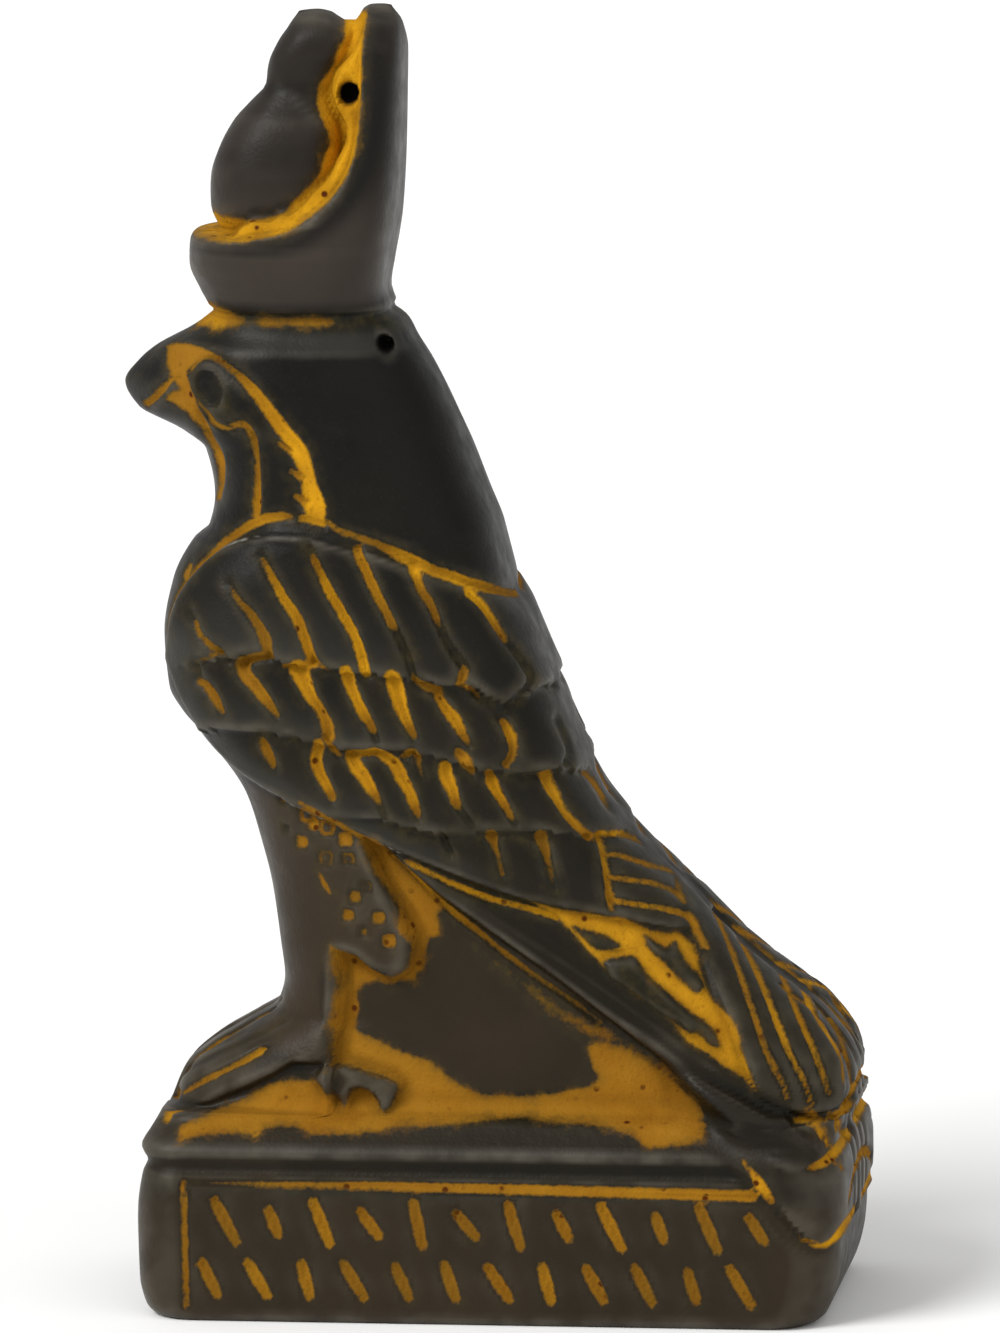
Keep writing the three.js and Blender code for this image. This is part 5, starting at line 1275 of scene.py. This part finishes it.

# %% Colours of the stone: stain and dust, with painted highlights, painted shade, wear and paint film over them
cloudy = spread(cloud, 0.35, 0.65)
dark_stone = mixed(low_down, mixed(cloudy, "#0b0a08", "#120f0c"), mixed(cloudy, "#17130a", "#1e190e"))
cloudy = spread(cloud, 0.3, 0.7)
dusty_stone = mixed(low_down, mixed(cloudy, "#312b25", "#39322b"), mixed(cloudy, "#2c2317", "#34291c"))
edge_wear_and_highlight = times(worn_and_highlit, spread(noise(5, 2), 0.35, 0.62, 0.15, 0.55))
film_colour = mixed(spread(noise(2.2, 2), 0.4, 0.6), "#2b2812", "#453b1a")
stone_colour = layered(mixed(dust_value, dark_stone, dusty_stone), [
    # Painted highlight on feather ends, wing edges, the plinth's shoulder and the crown's bevel and crease.
    (times(painted_highlight_value, spread(cloud, 0.3, 0.6, 0.6, 1.0)), "#383631"),
    (spread(grit, 0.6, 0.8, 0.0, 0.2), "#3d352e"),
    # Painted shade on the tail's nose.
    (times(nose_shade_value, 0.6), "#100d08"),
    # Edge wear and a painted highlight on bulging edges, held back on the tail's nose.
    (times(edge_wear_and_highlight, spread(nose_shade_value, 1.0, 0.0, 0.15, 1.0)), "#5c564b"),
    # Painted highlight along the wing plate's edge.
    (times(spread(rim_highlight_value, -0.24, -0.1), spread(noise(6, 2), 0.4, 0.6, 0.25, 0.85)), "#85827a"),
    # Painted shade in hollows.
    (times(painted_hollow_shade, 0.5), "#0c0a07"),
    (times(around, spread(height, 0.02, 0.06, 0.15, 0.5)), film_colour),
])

# %% Colours of the ochre: browner where it is thin, darker in hollows as painted shade, and speckled with grit
SPECK_SPACING = 2.4
specks = add("ShaderNodeTexVoronoi", {
    "Vector": place, "Scale": 1 / (SPECK_SPACING * MM), "Randomness": 1.0})
speck = times(spread(specks.outputs["Distance"], 0.22, 0.12), spread(noise(6, 1), 0.5, 0.58))
speck = times(speck, painted)
dull_ochre = mixed(spread(strength, 0.2, 0.75), "#5d471b", "#94661a")
ochre = layered(mixed(spread(strength, 0.76, 0.98), dull_ochre, "#cd9417"), [
    (spread(thick, 0.0, 1.0, 0.6, 0.0), "#5c4611"),
    (times(spread(noise(6, 3), 0.42, 0.66), between(broad_value, 0.4, 0.75)), "#7e500d"),
    (spread(noise(0.8, 3, 0.7), 0.54, 0.74, 0.0, 0.5), "#704a0c"),
    (speck, "#4a2208"),
    (times(painted_hollow_shade, 0.4), "#523405"),
])
# The blind holes are coloured nearly black, as painted shade.
surface = layered(stone_colour, [(painted, ochre), (spread(hole_shade, -0.2, 0.25), "#060403")])

# %% Sheen and relief
stone_rough = spread(noise(3, 3), 0.3, 0.7, 0.36, 0.5)
rough = between(painted, stone_rough, 0.85)
sheen = between(painted, 0.13, 0.05)
relief = plus(times(grit, 0.25), times(noise(1.8, 2), 0.5))
relief = plus(relief, times(painted, times(noise(0.5, 2), 0.9)))
relief = less(relief, times(speck, 0.8))
relief = less(relief, times(painted, 0.4))
RELIEF_MM = 0.25
bump = add("ShaderNodeBump", {"Strength": 0.5, "Distance": RELIEF_MM * MM, "Height": relief})
shader = add("ShaderNodeBsdfPrincipled", {
    "Base Color": surface, "Roughness": rough, "IOR": 1.5, "Specular IOR Level": sheen,
    "Normal": bump.outputs["Normal"]})
add("ShaderNodeOutputMaterial", {"Surface": shader.outputs["BSDF"]})
falcon.data.materials.append(stone)
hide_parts(NODE)
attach(falcon, "root")

# %% [markdown]
# ## Studio
# The figure stands on a wide sheet of pale paper under wide, soft lights. The lamps are far off, so
# the paper is lit evenly and looks the same from every side.

# %% Floor
FLOOR_REACH = 9.0
paper = bpy.data.meshes.new("paper_floor")
CORNER_SIDES = ((-1, -1), (1, -1), (1, 1), (-1, 1))
corners = [(FLOOR_REACH * side_x, FLOOR_REACH * side_y, 0) for side_x, side_y in CORNER_SIDES]
paper.from_pydata(corners, [], [(0, 1, 2, 3)])
floor = bpy.data.objects.new("paper_floor", paper)
bpy.context.collection.objects.link(floor)
paper_finish = bpy.data.materials.new("matt_white_paper")
paper_finish.use_nodes = True
paper_shader = paper_finish.node_tree.nodes["Principled BSDF"]
paper_shader.inputs["Base Color"].default_value = linear("#fcfcfb")
paper_shader.inputs["Roughness"].default_value = 0.95
paper_shader.inputs["Specular IOR Level"].default_value = 0.1
paper.materials.append(paper_finish)

# %% Camera, at the photograph's angle
ROLL = -0.8
PIXELS_PER_METRE = 7660
IMAGE_HEIGHT = 1333
aim = np.array([0, SHIFT, AIM_HEIGHT]) * MM
right = np.cross([0, 0, 1], away)
right = right / np.linalg.norm(right)
upward = np.cross(away, right)
rolled = math.radians(ROLL)
right, upward = (math.cos(rolled) * right + math.sin(rolled) * upward,
                 math.cos(rolled) * upward - math.sin(rolled) * right)
camera = bpy.data.objects.new("camera", bpy.data.cameras.new("camera"))
bpy.context.collection.objects.link(camera)
camera.data.lens = PIXELS_PER_METRE * DISTANCE * camera.data.sensor_width / IMAGE_HEIGHT
camera.location = aim + away * DISTANCE
camera.rotation_mode = "QUATERNION"
camera.rotation_quaternion = Matrix(np.stack([right, upward, away], axis=1).tolist()).to_quaternion()
camera.data.clip_end = 10
bpy.context.scene.camera = camera
print(f"lens {camera.data.lens:.0f} mm at {DISTANCE} m")

# %% Soft lights


def wide_lamp(name, azimuth, elevation, strength, softness):
    """A far lamp that shines from an azimuth and an elevation, with its apparent width in degrees."""
    lamp = bpy.data.objects.new(name, bpy.data.lights.new(name, "SUN"))
    lamp.data.energy = strength
    lamp.data.angle = math.radians(softness)
    towards = Vector(direction(azimuth, elevation))
    lamp.location = towards
    lamp.rotation_mode = "QUATERNION"
    lamp.rotation_quaternion = towards.to_track_quat("Z", "Y")
    bpy.context.collection.objects.link(lamp)


wide_lamp("key_softbox", azimuth=45, elevation=42, strength=2.3, softness=30)
wide_lamp("fill_softbox", azimuth=130, elevation=30, strength=0.4, softness=60)
SKY_STRENGTH = 0.58
world = bpy.data.worlds.new("studio")
world.use_nodes = True
sky = world.node_tree.nodes["Background"]
sky.inputs["Color"].default_value = linear("#ffffff")
sky.inputs["Strength"].default_value = SKY_STRENGTH
bpy.context.scene.world = world
bpy.context.scene.view_settings.view_transform = "Standard"
